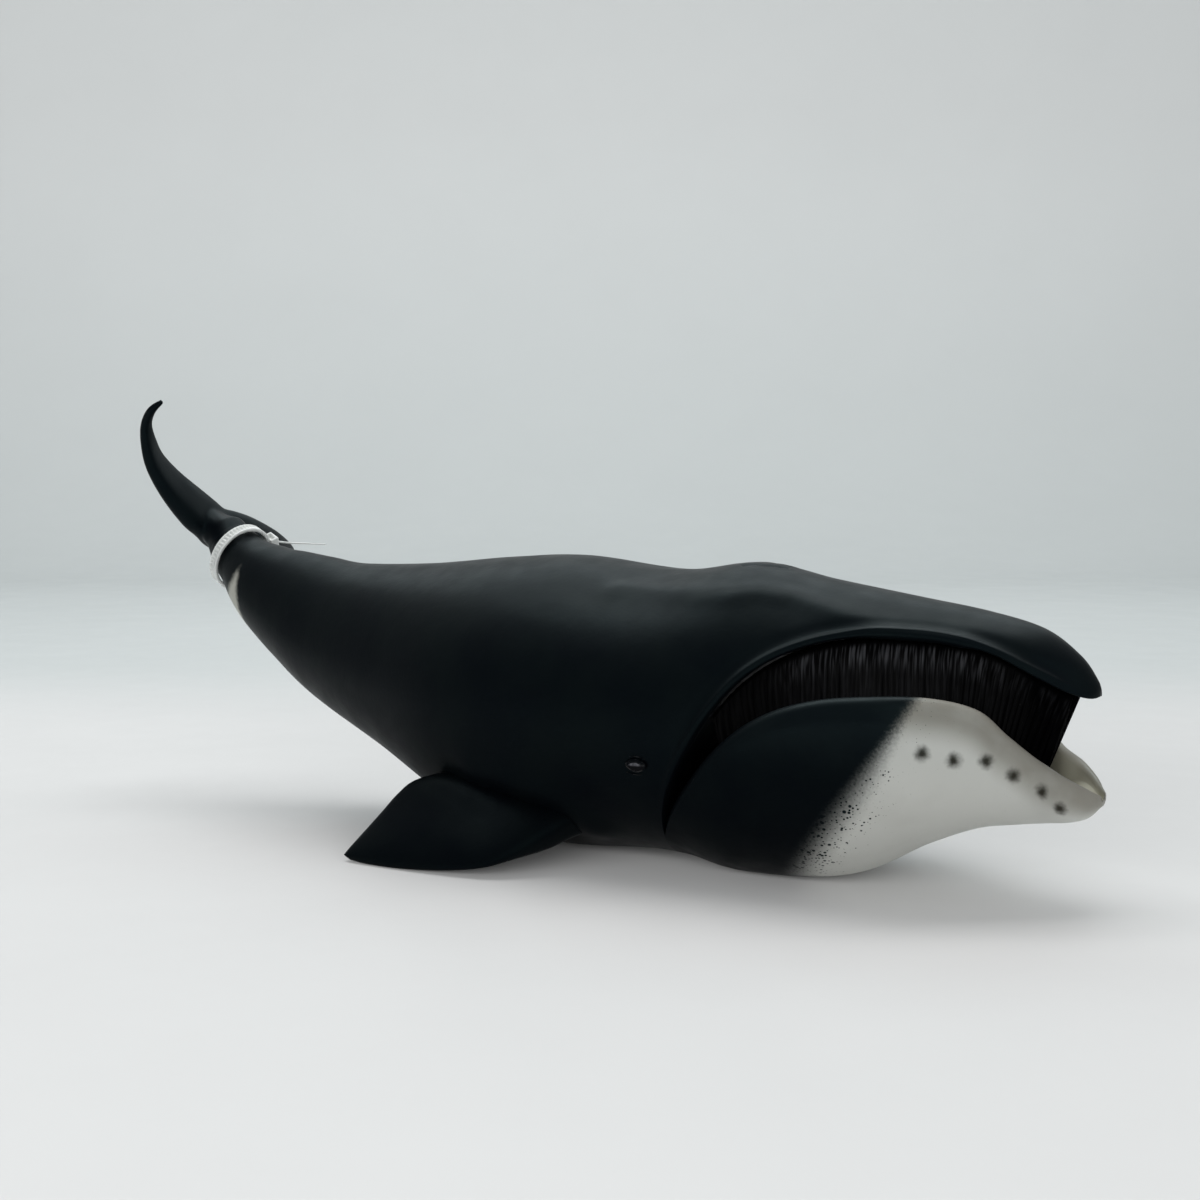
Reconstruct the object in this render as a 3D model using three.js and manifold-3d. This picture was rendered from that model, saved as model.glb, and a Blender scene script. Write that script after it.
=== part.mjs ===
// A whale figurine in moulded plastic: a hollow body in two shells, with the lower jaw, tongue, baleen,
// flippers, flukes and eyes set into it, and a loose cable tie round the tail stock.
// Millimetres. +X is towards the head, +Y to the whale's left, +Z up, and the ground is z = 0.
import * as THREE from "three";
import { mergeVertices } from "three/addons/utils/BufferGeometryUtils.js";
import Module from "manifold-3d";

// Fits
const WALL = 2.8;
const BOND_GAP = 0.3;
const TURN_GAP = 0.4;

// Body spine from the tail stock to the rostrum: x, y, z, half width, reach above, reach below
const BODY_STATIONS = [
  [-113, 7, 63.2, 7.4, 7.6, 7.2],
  [-104, 4.2, 57.8, 8.6, 9.2, 8.4],
  [-90, 1.4, 49.4, 11, 13.4, 11],
  [-70, 0.2, 41.6, 16.2, 18.8, 16.4],
  [-47, 0, 36.2, 23.6, 24, 22.6],
  [-25, 0, 33.2, 30.6, 29, 29.2],
  [-5, 0, 31.8, 33, 31.4, 31.9],
  [20, 0, 31.5, 32.5, 29.5, 31.6],
  [38, 0, 31.5, 30, 31.5, 32],
  [54, 0, 31.5, 25.5, 28.7, 32],
  [72, 0, 31.5, 21.5, 25.9, 28],
  [86, 0, 31.5, 19, 23.7, 26],
  [97, 0, 31.5, 13.5, 20.9, 23],
  [104, 0, 31.5, 8, 16.2, 18],
  [107.3, 0, 31.5, 4.5, 12, 14],
  [108.3, 0, 31.5, 1.5, 9.8, 10],
];
const HOLLOW_FROM_X = -88;
const HOLLOW_TO_X = 17;

// Lower jaw, in the same terms
const JAW_STATIONS = [
  [16, 0, 31.5, 32.6, 30, 31.6],
  [36, 0, 31.5, 31, 30, 32],
  [52, 0, 31.2, 30.6, 30, 31.2],
  [64, 0, 30.8, 30, 29, 28.4],
  [76, 0, 30.8, 27.8, 26, 23],
  [86, 0, 30.6, 23.4, 22, 18.8],
  [94, 0, 28.9, 18.2, 18, 15.4],
  [101, 0, 25.8, 12.6, 14, 11.4],
  [106, 0, 22.8, 7.8, 10, 7.8],
  [109, 0, 20.9, 3.6, 5, 4.2],
  [110, 0, 20.2, 1.2, 1.5, 1.6],
];
const JAW_WALL = 2.6;
const MOUTH_FROM_X = 40;
const MOUTH_TIP_WALL = 4;

// Edge of the upper lip and edge of the lower lip, as x, z
const LIP_EDGE = [
  [22, -14],
  [27.5, 3.4],
  [31.5, 16.4],
  [36, 27.4],
  [42, 36.4],
  [50, 43.9],
  [60, 49.2],
  [70, 51.2],
  [81, 50.7],
  [92, 47.6],
  [102, 42.6],
  [112, 37.9],
];
const RIM_EDGE = [
  [24, 7.4],
  [34, 17.4],
  [44, 27.2],
  [56, 35.7],
  [68, 39.6],
  [80, 40.4],
  [90, 37.4],
  [98, 32.2],
  [104.5, 26.8],
  [112, 20.8],
];

// Seam bosses that locate the two shells, as x along the spine
const SEAM_BOSSES_X = [-62, -34, 2];
const SEAM_BOSS_DIAMETER = 7;
const SEAM_PIN_DIAMETER = 3;
const SEAM_PIN_LENGTH = 4;

// Plugs that hold the jaw, the flippers and the flukes
const JAW_PLUG_DIAMETER = 12;
const JAW_PLUG_LENGTH = 13;
const JAW_PLUG_HEIGHT = 14;
const FLIPPER_PLUG_DIAMETER = 8;
const FLIPPER_PLUG_LENGTH = 9;
const FLUKE_PLUG_DIAMETER = 8;
const FLUKE_PLUG_LENGTH = 9;
const SOCKET_WALL = 2.4;

// Baleen racks
const BALEEN_FRONT_GAP = 2;
const BALEEN_PITCH = 1.6;
const BALEEN_RIB_DEPTH = 0.7;
const BALEEN_THICKNESS = 2.4;
const BALEEN_SETBACK = 2.2;
const BALEEN_HIDDEN_DEPTH = 6;
const BALEEN_RIM_GAP = 1.2;
const BALEEN_FRONT_SLANT = 0.36;

// Tongue
const TONGUE_BACK_GAP = 2;
const TONGUE_TIP_GAP = 12;
const TONGUE_WIDTH_SHARE = 0.55;
const TONGUE_HEIGHT = 9;
const TONGUE_SUNK = 4;
const TONGUE_BLUNTNESS = 4;
const TONGUE_END_SHARE = 0.14;

// Right flipper: root and tip, and rows from root to tip. A row has the trailing and the leading edge,
// each as share of the length and place across the blade, then the lift and the thickness.
const FLIPPER_ROOT = [-3, -28, 17];
const FLIPPER_TIP = [-39.5, -40, 0.6];
const FLIPPER_TILT = 0.54;
const FLIPPER_ROWS = [
  [-0.25, -10, -0.25, 12, 0, 10],
  [0, -11.5, 0, 13, 0, 9],
  [0.25, -11.5, 0.25, 13, 0, 7.5],
  [0.5, -9.8, 0.5, 12.6, 0, 6],
  [0.75, -6.5, 0.75, 8.6, 0, 4.5],
  [0.92, -2.8, 0.92, 4.2, 0, 3],
  [1, -0.4, 1, 0.9, 0, 1.2],
];

// Flukes: centre of the root, the way aft, the side way, and rows from the middle to a tip. A row has the
// leading and the trailing edge, each as share of the half span and place aft, then the lift of the right
// lobe, which curls up, the lift of the left one, which droops, and the thickness.
const FLUKE_ROOT = [-118, 8.6, 65.8];
const FLUKE_AFT = [-0.35, 0.6, 0.72];
const FLUKE_LEFT = [0.2, 0.854, -0.49];
const FLUKE_HALF_SPAN = 34.6;
const FLUKE_FAIRING_WIDTH_SHARE = 0.8;
const FLUKE_FAIRING_THIN_SHARE = 0.25;
const FLUKE_ROWS = [
  [0, -7, 0, 5.5, 0, 0, 8],
  [0.1, -6.6, 0.09, 8.6, 0, 1.2, 7],
  [0.23, -4.5, 0.19, 8.6, 0, 2.4, 6],
  [0.48, -2.5, 0.42, 9, 0.2, 3.4, 4.6],
  [0.685, 1.4, 0.615, 9.6, 1.3, 2.6, 3.6],
  [0.82, 5.8, 0.745, 11, 3.2, 1.2, 2.8],
  [0.915, 8.9, 0.85, 11.6, 5.8, -1, 2.2],
  [0.972, 11.3, 0.922, 12.5, 9.8, -3, 1.5],
  [0.955, 14.1, 0.935, 14.1, 12.6, -4.5, 0.8],
];

// Eyes
const EYE_PLACE = [26, 24.4];
const EYE_DIAMETER = 4;
const EYE_DEPTH = 3;
const EYE_RISE = 0.9;

// Cable tie
const TIE_FROM_TAIL_END = 9;
const TIE_WIDTH = 2.6;
const TIE_THICKNESS = 1;
const TIE_SLACK = 0.5;
const TIE_HEAD = [4.2, 3.6, 2.8];
const TIE_HEAD_ANGLE = THREE.MathUtils.degToRad(58);
const TIE_TAIL_LENGTH = 14;
const TIE_TAIL_LIFT = THREE.MathUtils.degToRad(12);

// Fineness of the curved faces: sides round a section, and steps along it
const BODY_FACES = { around: 28, along: 34 };
const BODY_HOLLOW_FACES = { around: 18, along: 12 };
const JAW_FACES = { around: 28, along: 28 };
const MOUTH_FACES = { around: 24, along: 18 };
const TONGUE_FACES = { around: 20, along: 16 };
const FLIPPER_FACES = { around: 14, along: 16 };
const FLUKE_FACES = { around: 12, along: 34 };
const FAIRING_FACES = { around: 20, along: 6 };
const EYE_FACES = { around: 16, along: 4 };
const PLUG_SIDES = 20;
const PIN_SIDES = 12;
const TIE_SIDES = 36;
const LIP_STEPS = 36;
const SEAM_STEPS = 24;
const SEARCH_STEPS = 30;

// Longer than the figurine in every direction, for the planes that cut it
const REACH = 300;
const WELD = 1e-4;

const UP = new THREE.Vector3(0, 0, 1);
const wasm = await Module();
wasm.setup();

// Solids

function solid(geometry) {
  const bare = new THREE.BufferGeometry().setAttribute("position", geometry.getAttribute("position"));
  bare.setIndex(geometry.index);
  const welded = mergeVertices(bare, WELD);
  const mesh = { numProp: 3, vertProperties: welded.attributes.position.array };
  mesh.triVerts = new Uint32Array(welded.index.array);
  return new wasm.Manifold(new wasm.Mesh(mesh));
}

function geometryOf(body) {
  const { vertProperties, triVerts } = body.getMesh();
  const geometry = new THREE.BufferGeometry();
  geometry.setAttribute("position", new THREE.BufferAttribute(vertProperties, 3));
  geometry.setIndex(new THREE.BufferAttribute(triVerts, 1));
  return geometry;
}

// A closed skin over rings of points that run anticlockwise about the way they advance.
function skin(rings) {
  const count = rings[0].length;
  const last = rings.length - 1;
  const points = rings.flat();
  const centre = (ring) => ring.reduce((sum, p) => sum.add(p), new THREE.Vector3()).divideScalar(count);
  const startCentre = points.push(centre(rings[0])) - 1;
  const endCentre = points.push(centre(rings[last])) - 1;
  const faces = [];
  for (let j = 0; j < count; j += 1) {
    const next = (j + 1) % count;
    faces.push(startCentre, next, j);
    faces.push(endCentre, last * count + j, last * count + next);
    for (let i = 0; i < last; i += 1) {
      const [a, b] = [i * count + j, i * count + next];
      const [c, d] = [a + count, b + count];
      faces.push(a, b, d, a, d, c);
    }
  }
  return new THREE.BufferGeometry().setFromPoints(points).setIndex(faces);
}

function oval({ centre, left, above, half, up, down }, count) {
  return Array.from({ length: count }, (_, i) => {
    const angle = (2 * Math.PI * i) / count;
    const reach = i < count / 2 ? up : down;
    return centre
      .clone()
      .addScaledVector(left, half * Math.cos(angle))
      .addScaledVector(above, reach * Math.sin(angle));
  });
}

// An outline in x and z, taken from side to side.
function acrossY(outline, half = REACH) {
  const shape = new THREE.Shape(outline.map(([x, z]) => new THREE.Vector2(x, z)));
  const geometry = new THREE.ExtrudeGeometry(shape, { depth: 2 * half, bevelEnabled: false });
  return solid(geometry.rotateX(Math.PI / 2).translate(0, half, 0));
}

// A round bar between two points.
function bar(from, to, diameter, sides = PLUG_SIDES) {
  const way = new THREE.Vector3().subVectors(to, from);
  const geometry = new THREE.CylinderGeometry(diameter / 2, diameter / 2, way.length(), sides);
  const turn = new THREE.Quaternion().setFromUnitVectors(new THREE.Vector3(0, 1, 0), way.clone().normalize());
  geometry.applyQuaternion(turn).translate(...from.clone().addScaledVector(way, 0.5));
  return solid(geometry);
}

// Body and jaw skins

function loftFrom(stations) {
  const places = stations.map(([x, y, z]) => new THREE.Vector3(x, y, z));
  const sizes = stations.map(([, , , half, up, down]) => new THREE.Vector3(half, up, down));
  return {
    spine: new THREE.CatmullRomCurve3(places, false, "catmullrom"),
    girth: new THREE.CatmullRomCurve3(sizes, false, "catmullrom"),
  };
}

function sectionAt({ spine, girth }, t, grow = 0) {
  const centre = spine.getPoint(t);
  const ahead = spine.getTangent(t);
  const left = new THREE.Vector3().crossVectors(UP, ahead).normalize();
  const above = new THREE.Vector3().crossVectors(ahead, left);
  const { x, y, z } = girth.getPoint(t);
  return { centre, ahead, left, above, half: x + grow, up: y + grow, down: z + grow };
}

// Share of the spine at which it reaches x.
function shareAt({ spine }, x) {
  let [low, high] = [0, 1];
  for (let step = 0; step < SEARCH_STEPS; step += 1) {
    const middle = (low + high) / 2;
    if (spine.getPoint(middle).x < x) low = middle;
    else high = middle;
  }
  return low;
}

function hull(loft, { around, along }, { grow = 0, from = 0, to = 1 } = {}) {
  const rings = [];
  for (let i = 0; i <= along; i += 1) {
    const t = THREE.MathUtils.lerp(from, to, i / along);
    rings.push(oval(sectionAt(loft, t, grow), around));
  }
  return solid(skin(rings));
}

const body = loftFrom(BODY_STATIONS);
const jaw = loftFrom(JAW_STATIONS);
const tailSection = sectionAt(body, 0);
const mouthEndX = JAW_STATIONS.at(-1)[0] - MOUTH_TIP_WALL;
const tieX = BODY_STATIONS[0][0] + TIE_FROM_TAIL_END;

// Half width of a loft at x and height z.
function halfWidthAt(loft, x, z, grow = 0) {
  const { centre, half, up, down } = sectionAt(loft, shareAt(loft, x), grow);
  const rise = z - centre.z;
  const share = rise / (rise > 0 ? up : down);
  return half * Math.sqrt(Math.max(0, 1 - share * share));
}

// Lip edges

function edgePoints(edge, lower = 0) {
  const curve = new THREE.SplineCurve(edge.map(([x, z]) => new THREE.Vector2(x, z)));
  return curve.getPoints(LIP_STEPS).map(({ x, y }, i, all) => {
    const way = curve.getTangent(i / (all.length - 1));
    return [x + way.y * lower, y - way.x * lower];
  });
}

// Second value of an edge where its first value reaches x.
function heightAt(points, x) {
  const i = Math.max(1, points.findIndex((p) => p[0] >= x));
  const [[x0, z0], [x1, z1]] = [points[i - 1], points[i]];
  return THREE.MathUtils.mapLinear(x, x0, x1, z0, z1);
}

const lip = edgePoints(LIP_EDGE);
const rim = edgePoints(RIM_EDGE);

function belowLip(gap) {
  const edge = edgePoints(LIP_EDGE, gap);
  return acrossY([...edge, [REACH, edge.at(-1)[1]], [REACH, -REACH], [edge[0][0], -REACH]]);
}

function aboveRim() {
  return acrossY([[-REACH, REACH], [-REACH, rim[0][1]], ...rim, [rim.at(-1)[0], REACH]]);
}

function belowGround() {
  const geometry = new THREE.BoxGeometry(2 * REACH, 2 * REACH, REACH);
  return solid(geometry.translate(0, 0, -REACH / 2));
}

// Everything on one side of the spine, seen from above: side 1 is left, -1 is right.
function sideOfSpine(side) {
  const line = body.spine.getPoints(SEAM_STEPS);
  const seam = line.map(({ x, y }) => new THREE.Vector2(x, y + (side * BOND_GAP) / 2));
  const first = seam[0].clone().add(seam[0].clone().sub(seam[1]).setLength(REACH / 2));
  const last = new THREE.Vector2(REACH, (side * BOND_GAP) / 2);
  const outer = [new THREE.Vector2(last.x, side * REACH), new THREE.Vector2(first.x, side * REACH)];
  const shape = new THREE.Shape([first, ...seam, last, ...outer]);
  const geometry = new THREE.ExtrudeGeometry(shape, { depth: 2 * REACH, bevelEnabled: false });
  return solid(geometry.translate(0, 0, -REACH));
}

// Plugs: where each one starts, and which way it goes into the body

function jawPlug() {
  const x = heightAt(lip.map(([along, up]) => [up, along]), JAW_PLUG_HEIGHT);
  const from = new THREE.Vector3(x + JAW_PLUG_LENGTH / 2, 0, JAW_PLUG_HEIGHT);
  return { from, way: new THREE.Vector3(-1, 0, 0), length: JAW_PLUG_LENGTH, diameter: JAW_PLUG_DIAMETER };
}

function flipperPlug() {
  const from = new THREE.Vector3(...FLIPPER_ROOT);
  const { centre } = sectionAt(body, shareAt(body, from.x));
  const way = centre.clone().sub(from).setX(0).normalize();
  from.addScaledVector(way, -WALL);
  return { from, way, length: FLIPPER_PLUG_LENGTH, diameter: FLIPPER_PLUG_DIAMETER };
}

function flukePlug() {
  const from = tailSection.centre.clone().addScaledVector(tailSection.ahead, -WALL);
  return { from, way: tailSection.ahead, length: FLUKE_PLUG_LENGTH, diameter: FLUKE_PLUG_DIAMETER };
}

function plugBar({ from, way, length, diameter }, grow = 0) {
  const to = from.clone().addScaledVector(way, length + grow);
  return bar(from, to, diameter + 2 * grow);
}

function mirrored(geometry) {
  const flipped = geometry.clone().scale(1, -1, 1);
  const order = flipped.index.array;
  for (let i = 0; i < order.length; i += 3) {
    [order[i + 1], order[i + 2]] = [order[i + 2], order[i + 1]];
  }
  return flipped;
}

// A solid made for the right side, moved to the side wanted.
function onSide(side, made) {
  return side < 0 ? made : solid(mirrored(geometryOf(made)));
}

// Eye: a domed bead on a short stem, on the axis that leaves the flank at EYE_PLACE

function eyeAxis() {
  const [x, z] = EYE_PLACE;
  const surface = new THREE.Vector3(x, -halfWidthAt(body, x, z), z);
  const { centre, half, up, down } = sectionAt(body, shareAt(body, x));
  const rise = z - centre.z;
  const reach = rise > 0 ? up : down;
  const way = new THREE.Vector3(0, surface.y / half ** 2, rise / reach ** 2).normalize();
  return { surface, way };
}

function eye() {
  const { surface, way } = eyeAxis();
  const radius = EYE_DIAMETER / 2;
  const { around, along } = EYE_FACES;
  const dome = Array.from({ length: along }, (_, i) => {
    const angle = (Math.PI / 2) * (i / along);
    return new THREE.Vector2(radius * Math.cos(angle), EYE_RISE * Math.sin(angle));
  });
  dome.push(new THREE.Vector2(0, EYE_RISE));
  const profile = [new THREE.Vector2(0, -EYE_DEPTH), new THREE.Vector2(radius, -EYE_DEPTH), ...dome];
  const geometry = new THREE.LatheGeometry(profile, around);
  geometry.applyQuaternion(new THREE.Quaternion().setFromUnitVectors(new THREE.Vector3(0, 1, 0), way));
  return geometryOf(solid(geometry.translate(...surface)));
}

function eyeSocket() {
  const { surface, way } = eyeAxis();
  const floor = surface.clone().addScaledVector(way, -EYE_DEPTH - BOND_GAP);
  return bar(floor, surface.clone().addScaledVector(way, EYE_DEPTH), EYE_DIAMETER + 2 * BOND_GAP);
}

// Body shells

function seamBoss(x, side) {
  const { centre } = sectionAt(body, shareAt(body, x));
  return bar(centre, centre.clone().setY(side * REACH), SEAM_BOSS_DIAMETER);
}

function seamPin(x, grow) {
  const { centre } = sectionAt(body, shareAt(body, x));
  const from = centre.clone().setY(centre.y + WALL);
  const to = centre.clone().setY(centre.y - SEAM_PIN_LENGTH - grow);
  return bar(from, to, SEAM_PIN_DIAMETER + 2 * grow, PIN_SIDES);
}

function bodyHollow(side) {
  const from = shareAt(body, HOLLOW_FROM_X);
  const to = shareAt(body, HOLLOW_TO_X);
  let hollow = hull(body, BODY_HOLLOW_FACES, { grow: -WALL, from, to });
  for (const x of SEAM_BOSSES_X) hollow = hollow.subtract(seamBoss(x, side));
  return hollow.subtract(onSide(side, plugBar(flipperPlug(), SOCKET_WALL)));
}

function bodyShell(side) {
  let shell = hull(body, BODY_FACES).subtract(belowLip(0)).subtract(bodyHollow(side));
  shell = shell.subtract(plugBar(jawPlug(), BOND_GAP)).subtract(plugBar(flukePlug(), BOND_GAP));
  shell = shell.subtract(onSide(side, plugBar(flipperPlug(), BOND_GAP)));
  shell = shell.subtract(onSide(side, eyeSocket())).subtract(belowGround());
  shell = shell.intersect(sideOfSpine(side));
  for (const x of SEAM_BOSSES_X) {
    shell = side < 0 ? shell.subtract(seamPin(x, BOND_GAP)) : shell.add(seamPin(x, 0));
  }
  return geometryOf(shell);
}

// Mouth

function mouthHollow(gap = 0) {
  const from = shareAt(jaw, MOUTH_FROM_X + gap);
  const to = shareAt(jaw, mouthEndX - gap);
  return hull(jaw, MOUTH_FACES, { grow: -JAW_WALL - gap, from, to });
}

function lowerJaw() {
  const outer = hull(jaw, JAW_FACES);
  const scoop = outer.intersect(belowLip(BOND_GAP)).subtract(aboveRim()).subtract(mouthHollow());
  return geometryOf(scoop.add(plugBar(jawPlug())).subtract(belowGround()));
}

function tongue() {
  const { around, along } = TONGUE_FACES;
  const rings = [];
  for (let i = 0; i <= along; i += 1) {
    const share = i / along;
    const x = THREE.MathUtils.lerp(MOUTH_FROM_X + TONGUE_BACK_GAP, mouthEndX - TONGUE_TIP_GAP, share);
    const section = sectionAt(jaw, shareAt(jaw, x), -JAW_WALL);
    const plump = Math.max(TONGUE_END_SHARE, Math.sqrt(1 - (2 * share - 1) ** TONGUE_BLUNTNESS));
    section.centre.z -= section.down;
    section.half *= TONGUE_WIDTH_SHARE * plump;
    section.up = TONGUE_HEIGHT * plump;
    section.down = TONGUE_SUNK;
    rings.push(oval(section, around));
  }
  return geometryOf(solid(skin(rings)).intersect(mouthHollow(BOND_GAP)));
}

function baleenRack() {
  const from = MOUTH_FROM_X + BOND_GAP;
  const to = mouthEndX - BALEEN_FRONT_GAP;
  const steps = Math.round((to - from) / BALEEN_PITCH) * 2;
  const rings = [];
  for (let i = 0; i <= steps; i += 1) {
    const x = THREE.MathUtils.lerp(from, to, i / steps);
    const top = heightAt(lip, x) - BOND_GAP;
    const bottom = heightAt(rim, x) - BALEEN_HIDDEN_DEPTH;
    const rib = i % 2 ? 0 : BALEEN_RIB_DEPTH;
    const topHalf = halfWidthAt(body, x, top) - BALEEN_SETBACK - rib;
    const bottomHalf = halfWidthAt(jaw, x, bottom, -JAW_WALL - BALEEN_RIM_GAP) - rib;
    const lean = -BALEEN_FRONT_SLANT * (i / steps) * (top - bottom);
    rings.push([
      new THREE.Vector3(x, -topHalf, top),
      new THREE.Vector3(x + lean, -bottomHalf, bottom),
      new THREE.Vector3(x + lean, -bottomHalf + BALEEN_THICKNESS, bottom),
      new THREE.Vector3(x, -topHalf + BALEEN_THICKNESS, top),
    ]);
  }
  return geometryOf(solid(skin(rings)));
}

// A thin blade between two edges. Each row gives the first edge (share along, place across), the second
// edge in the same way, the lift off the blade's plane and the thickness.
function blade(rows, { root, along, across, face }, faces) {
  const place = (share, aside, lift) =>
    root.clone().addScaledVector(along, share).addScaledVector(across, aside).addScaledVector(face, lift);
  const curve = (points) => new THREE.CatmullRomCurve3(points, false, "catmullrom");
  const first = curve(rows.map((row) => place(row[0], row[1], row[4])));
  const second = curve(rows.map((row) => place(row[2], row[3], row[4])));
  const thickness = curve(rows.map((row) => new THREE.Vector3(row[5], 0, 0)));
  const rings = [];
  for (let i = 0; i <= faces.along; i += 1) {
    const t = i / faces.along;
    const left = second.getPoint(t).sub(first.getPoint(t));
    const centre = first.getPoint(t).addScaledVector(left, 0.5);
    const half = left.length() / 2;
    const ahead = first.getTangent(t).add(second.getTangent(t));
    const above = ahead.cross(left.normalize()).normalize();
    const up = thickness.getPoint(t).x / 2;
    rings.push(oval({ centre, left, above, half, up, down: up }, faces.around));
  }
  return solid(skin(rings));
}

// Flipper: a blade cut to the flank, with a plug

function flipper() {
  const root = new THREE.Vector3(...FLIPPER_ROOT);
  const along = new THREE.Vector3(...FLIPPER_TIP).sub(root);
  const way = along.clone().normalize();
  const face = new THREE.Vector3(0, -1, FLIPPER_TILT);
  face.addScaledVector(way, -face.dot(way)).normalize();
  const across = new THREE.Vector3().crossVectors(face, way);
  const paddle = blade(FLIPPER_ROWS, { root, along, across, face }, FLIPPER_FACES);
  const trimmed = paddle.subtract(hull(body, BODY_FACES, { grow: BOND_GAP })).subtract(belowGround());
  return geometryOf(trimmed.add(plugBar(flipperPlug())));
}

// Flukes: a swept blade from tip to tip, faired into the end of the tail stock

function flukeFrame() {
  const root = new THREE.Vector3(...FLUKE_ROOT);
  const across = new THREE.Vector3(...FLUKE_AFT).normalize();
  const left = new THREE.Vector3(...FLUKE_LEFT);
  left.addScaledVector(across, -left.dot(across)).normalize();
  const face = new THREE.Vector3().crossVectors(left, across);
  return { root, along: left.multiplyScalar(FLUKE_HALF_SPAN), across, face };
}

function tailFlukes() {
  const frame = flukeFrame();
  const rightHalf = FLUKE_ROWS.map(([s, a, t, b, lift, , thick]) => [-s, a, -t, b, lift, thick]);
  const leftHalf = FLUKE_ROWS.map(([s, a, t, b, , lift, thick]) => [s, a, t, b, lift, thick]);
  const rows = [...rightHalf.slice(1).reverse(), ...leftHalf];
  const lobes = blade(rows, frame, FLUKE_FACES);
  const start = tailSection.centre.clone().addScaledVector(tailSection.ahead, -BOND_GAP);
  const end = frame.root.clone().addScaledVector(frame.across, FLUKE_ROWS[0][3] / 2);
  const thin = FLUKE_ROWS[0].at(-1) * FLUKE_FAIRING_THIN_SHARE;
  const narrow = tailSection.half * FLUKE_FAIRING_WIDTH_SHARE;
  const fairing = [];
  for (let i = 0; i <= FAIRING_FACES.along; i += 1) {
    const t = i / FAIRING_FACES.along;
    const ahead = tailSection.ahead.clone().negate().lerp(frame.across, t).normalize();
    const above = tailSection.above.clone().lerp(frame.face, t);
    const left = above.clone().cross(ahead).normalize();
    above.crossVectors(ahead, left);
    const half = THREE.MathUtils.lerp(tailSection.half, narrow, t);
    const up = THREE.MathUtils.lerp(tailSection.up, thin, t);
    const down = THREE.MathUtils.lerp(tailSection.down, thin, t);
    const centre = start.clone().lerp(end, t);
    fairing.push(oval({ centre, left, above, half, up, down }, FAIRING_FACES.around));
  }
  const faired = lobes.add(solid(skin(fairing))).subtract(hull(body, BODY_FACES, { grow: BOND_GAP }));
  return geometryOf(faired.add(plugBar(flukePlug())));
}

// Cable tie: strap, lock head and free end in one moulding. The loop hangs on the stock, so that its
// middle is lower than the stock's by the slack.
function cableTie() {
  const section = sectionAt(body, shareAt(body, tieX));
  const thickest = sectionAt(body, shareAt(body, tieX + TIE_WIDTH));
  const inner = Math.max(thickest.half, thickest.up, thickest.down) + TURN_GAP + TIE_SLACK;
  const outer = inner + TIE_THICKNESS;
  const half = TIE_WIDTH / 2;
  const corners = [
    [inner, -half],
    [outer, -half],
    [outer, half],
    [inner, half],
    [inner, -half],
  ];
  const profile = corners.map(([r, y]) => new THREE.Vector2(r, y));
  const strap = solid(new THREE.LatheGeometry(profile, TIE_SIDES));
  const [wide, long, tall] = TIE_HEAD;
  const head = solid(new THREE.BoxGeometry(long, wide, tall).translate(0, 0, inner + tall / 2));
  const tail = new THREE.BoxGeometry(TIE_TAIL_LENGTH, TIE_WIDTH, TIE_THICKNESS);
  tail.translate(TIE_TAIL_LENGTH / 2, 0, 0).rotateY(-TIE_TAIL_LIFT);
  const free = solid(tail.translate(0, 0, outer + TIE_THICKNESS / 2));
  const geometry = geometryOf(strap.add(head).add(free));
  const turn = new THREE.Matrix4().makeRotationY(Math.PI / 2 - TIE_HEAD_ANGLE);
  const place = new THREE.Matrix4().makeBasis(section.left, section.ahead.clone().negate(), section.above);
  const middle = section.centre.clone().addScaledVector(section.above, -TIE_SLACK);
  return geometry.applyMatrix4(turn).applyMatrix4(place).translate(...middle);
}

// The figurine

const PLASTIC = {
  skin: { color: 0x14191d, roughness: 0.5 },
  chin: { color: 0xb4b4ae, roughness: 0.55 },
  mouth: { color: 0x3c3432, roughness: 0.6 },
  baleen: { color: 0x101113, roughness: 0.6 },
  eye: { color: 0x0a0a0b, roughness: 0.12 },
  nylon: { color: 0xdcdedb, roughness: 0.4 },
};

const right = { flipper: flipper(), baleen: baleenRack(), eye: eye() };
const PIECES = [
  ["body_shell_right", bodyShell(-1), "skin"],
  ["body_shell_left", bodyShell(1), "skin"],
  ["lower_jaw", lowerJaw(), "chin"],
  ["tongue", tongue(), "mouth"],
  ["baleen_right", right.baleen, "baleen"],
  ["baleen_left", mirrored(right.baleen), "baleen"],
  ["flipper_right", right.flipper, "skin"],
  ["flipper_left", mirrored(right.flipper), "skin"],
  ["tail_flukes", tailFlukes(), "skin"],
  ["eye_right", right.eye, "eye"],
  ["eye_left", mirrored(right.eye), "eye"],
  ["cable_tie", cableTie(), "nylon"],
];

// The middle of the footprint, on the ground, is the origin.
const outline = new THREE.Box3();
for (const [, geometry] of PIECES) {
  geometry.computeBoundingBox();
  outline.union(geometry.boundingBox);
}
const middle = outline.getCenter(new THREE.Vector3()).setZ(0);

const whale = new THREE.Group();
for (const [name, geometry, plastic] of PIECES) {
  geometry.translate(-middle.x, -middle.y, 0);
  const mesh = new THREE.Mesh(geometry, new THREE.MeshStandardMaterial(PLASTIC[plastic]));
  mesh.name = name;
  whale.add(mesh);
}

export default whale;
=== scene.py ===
import math

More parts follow.
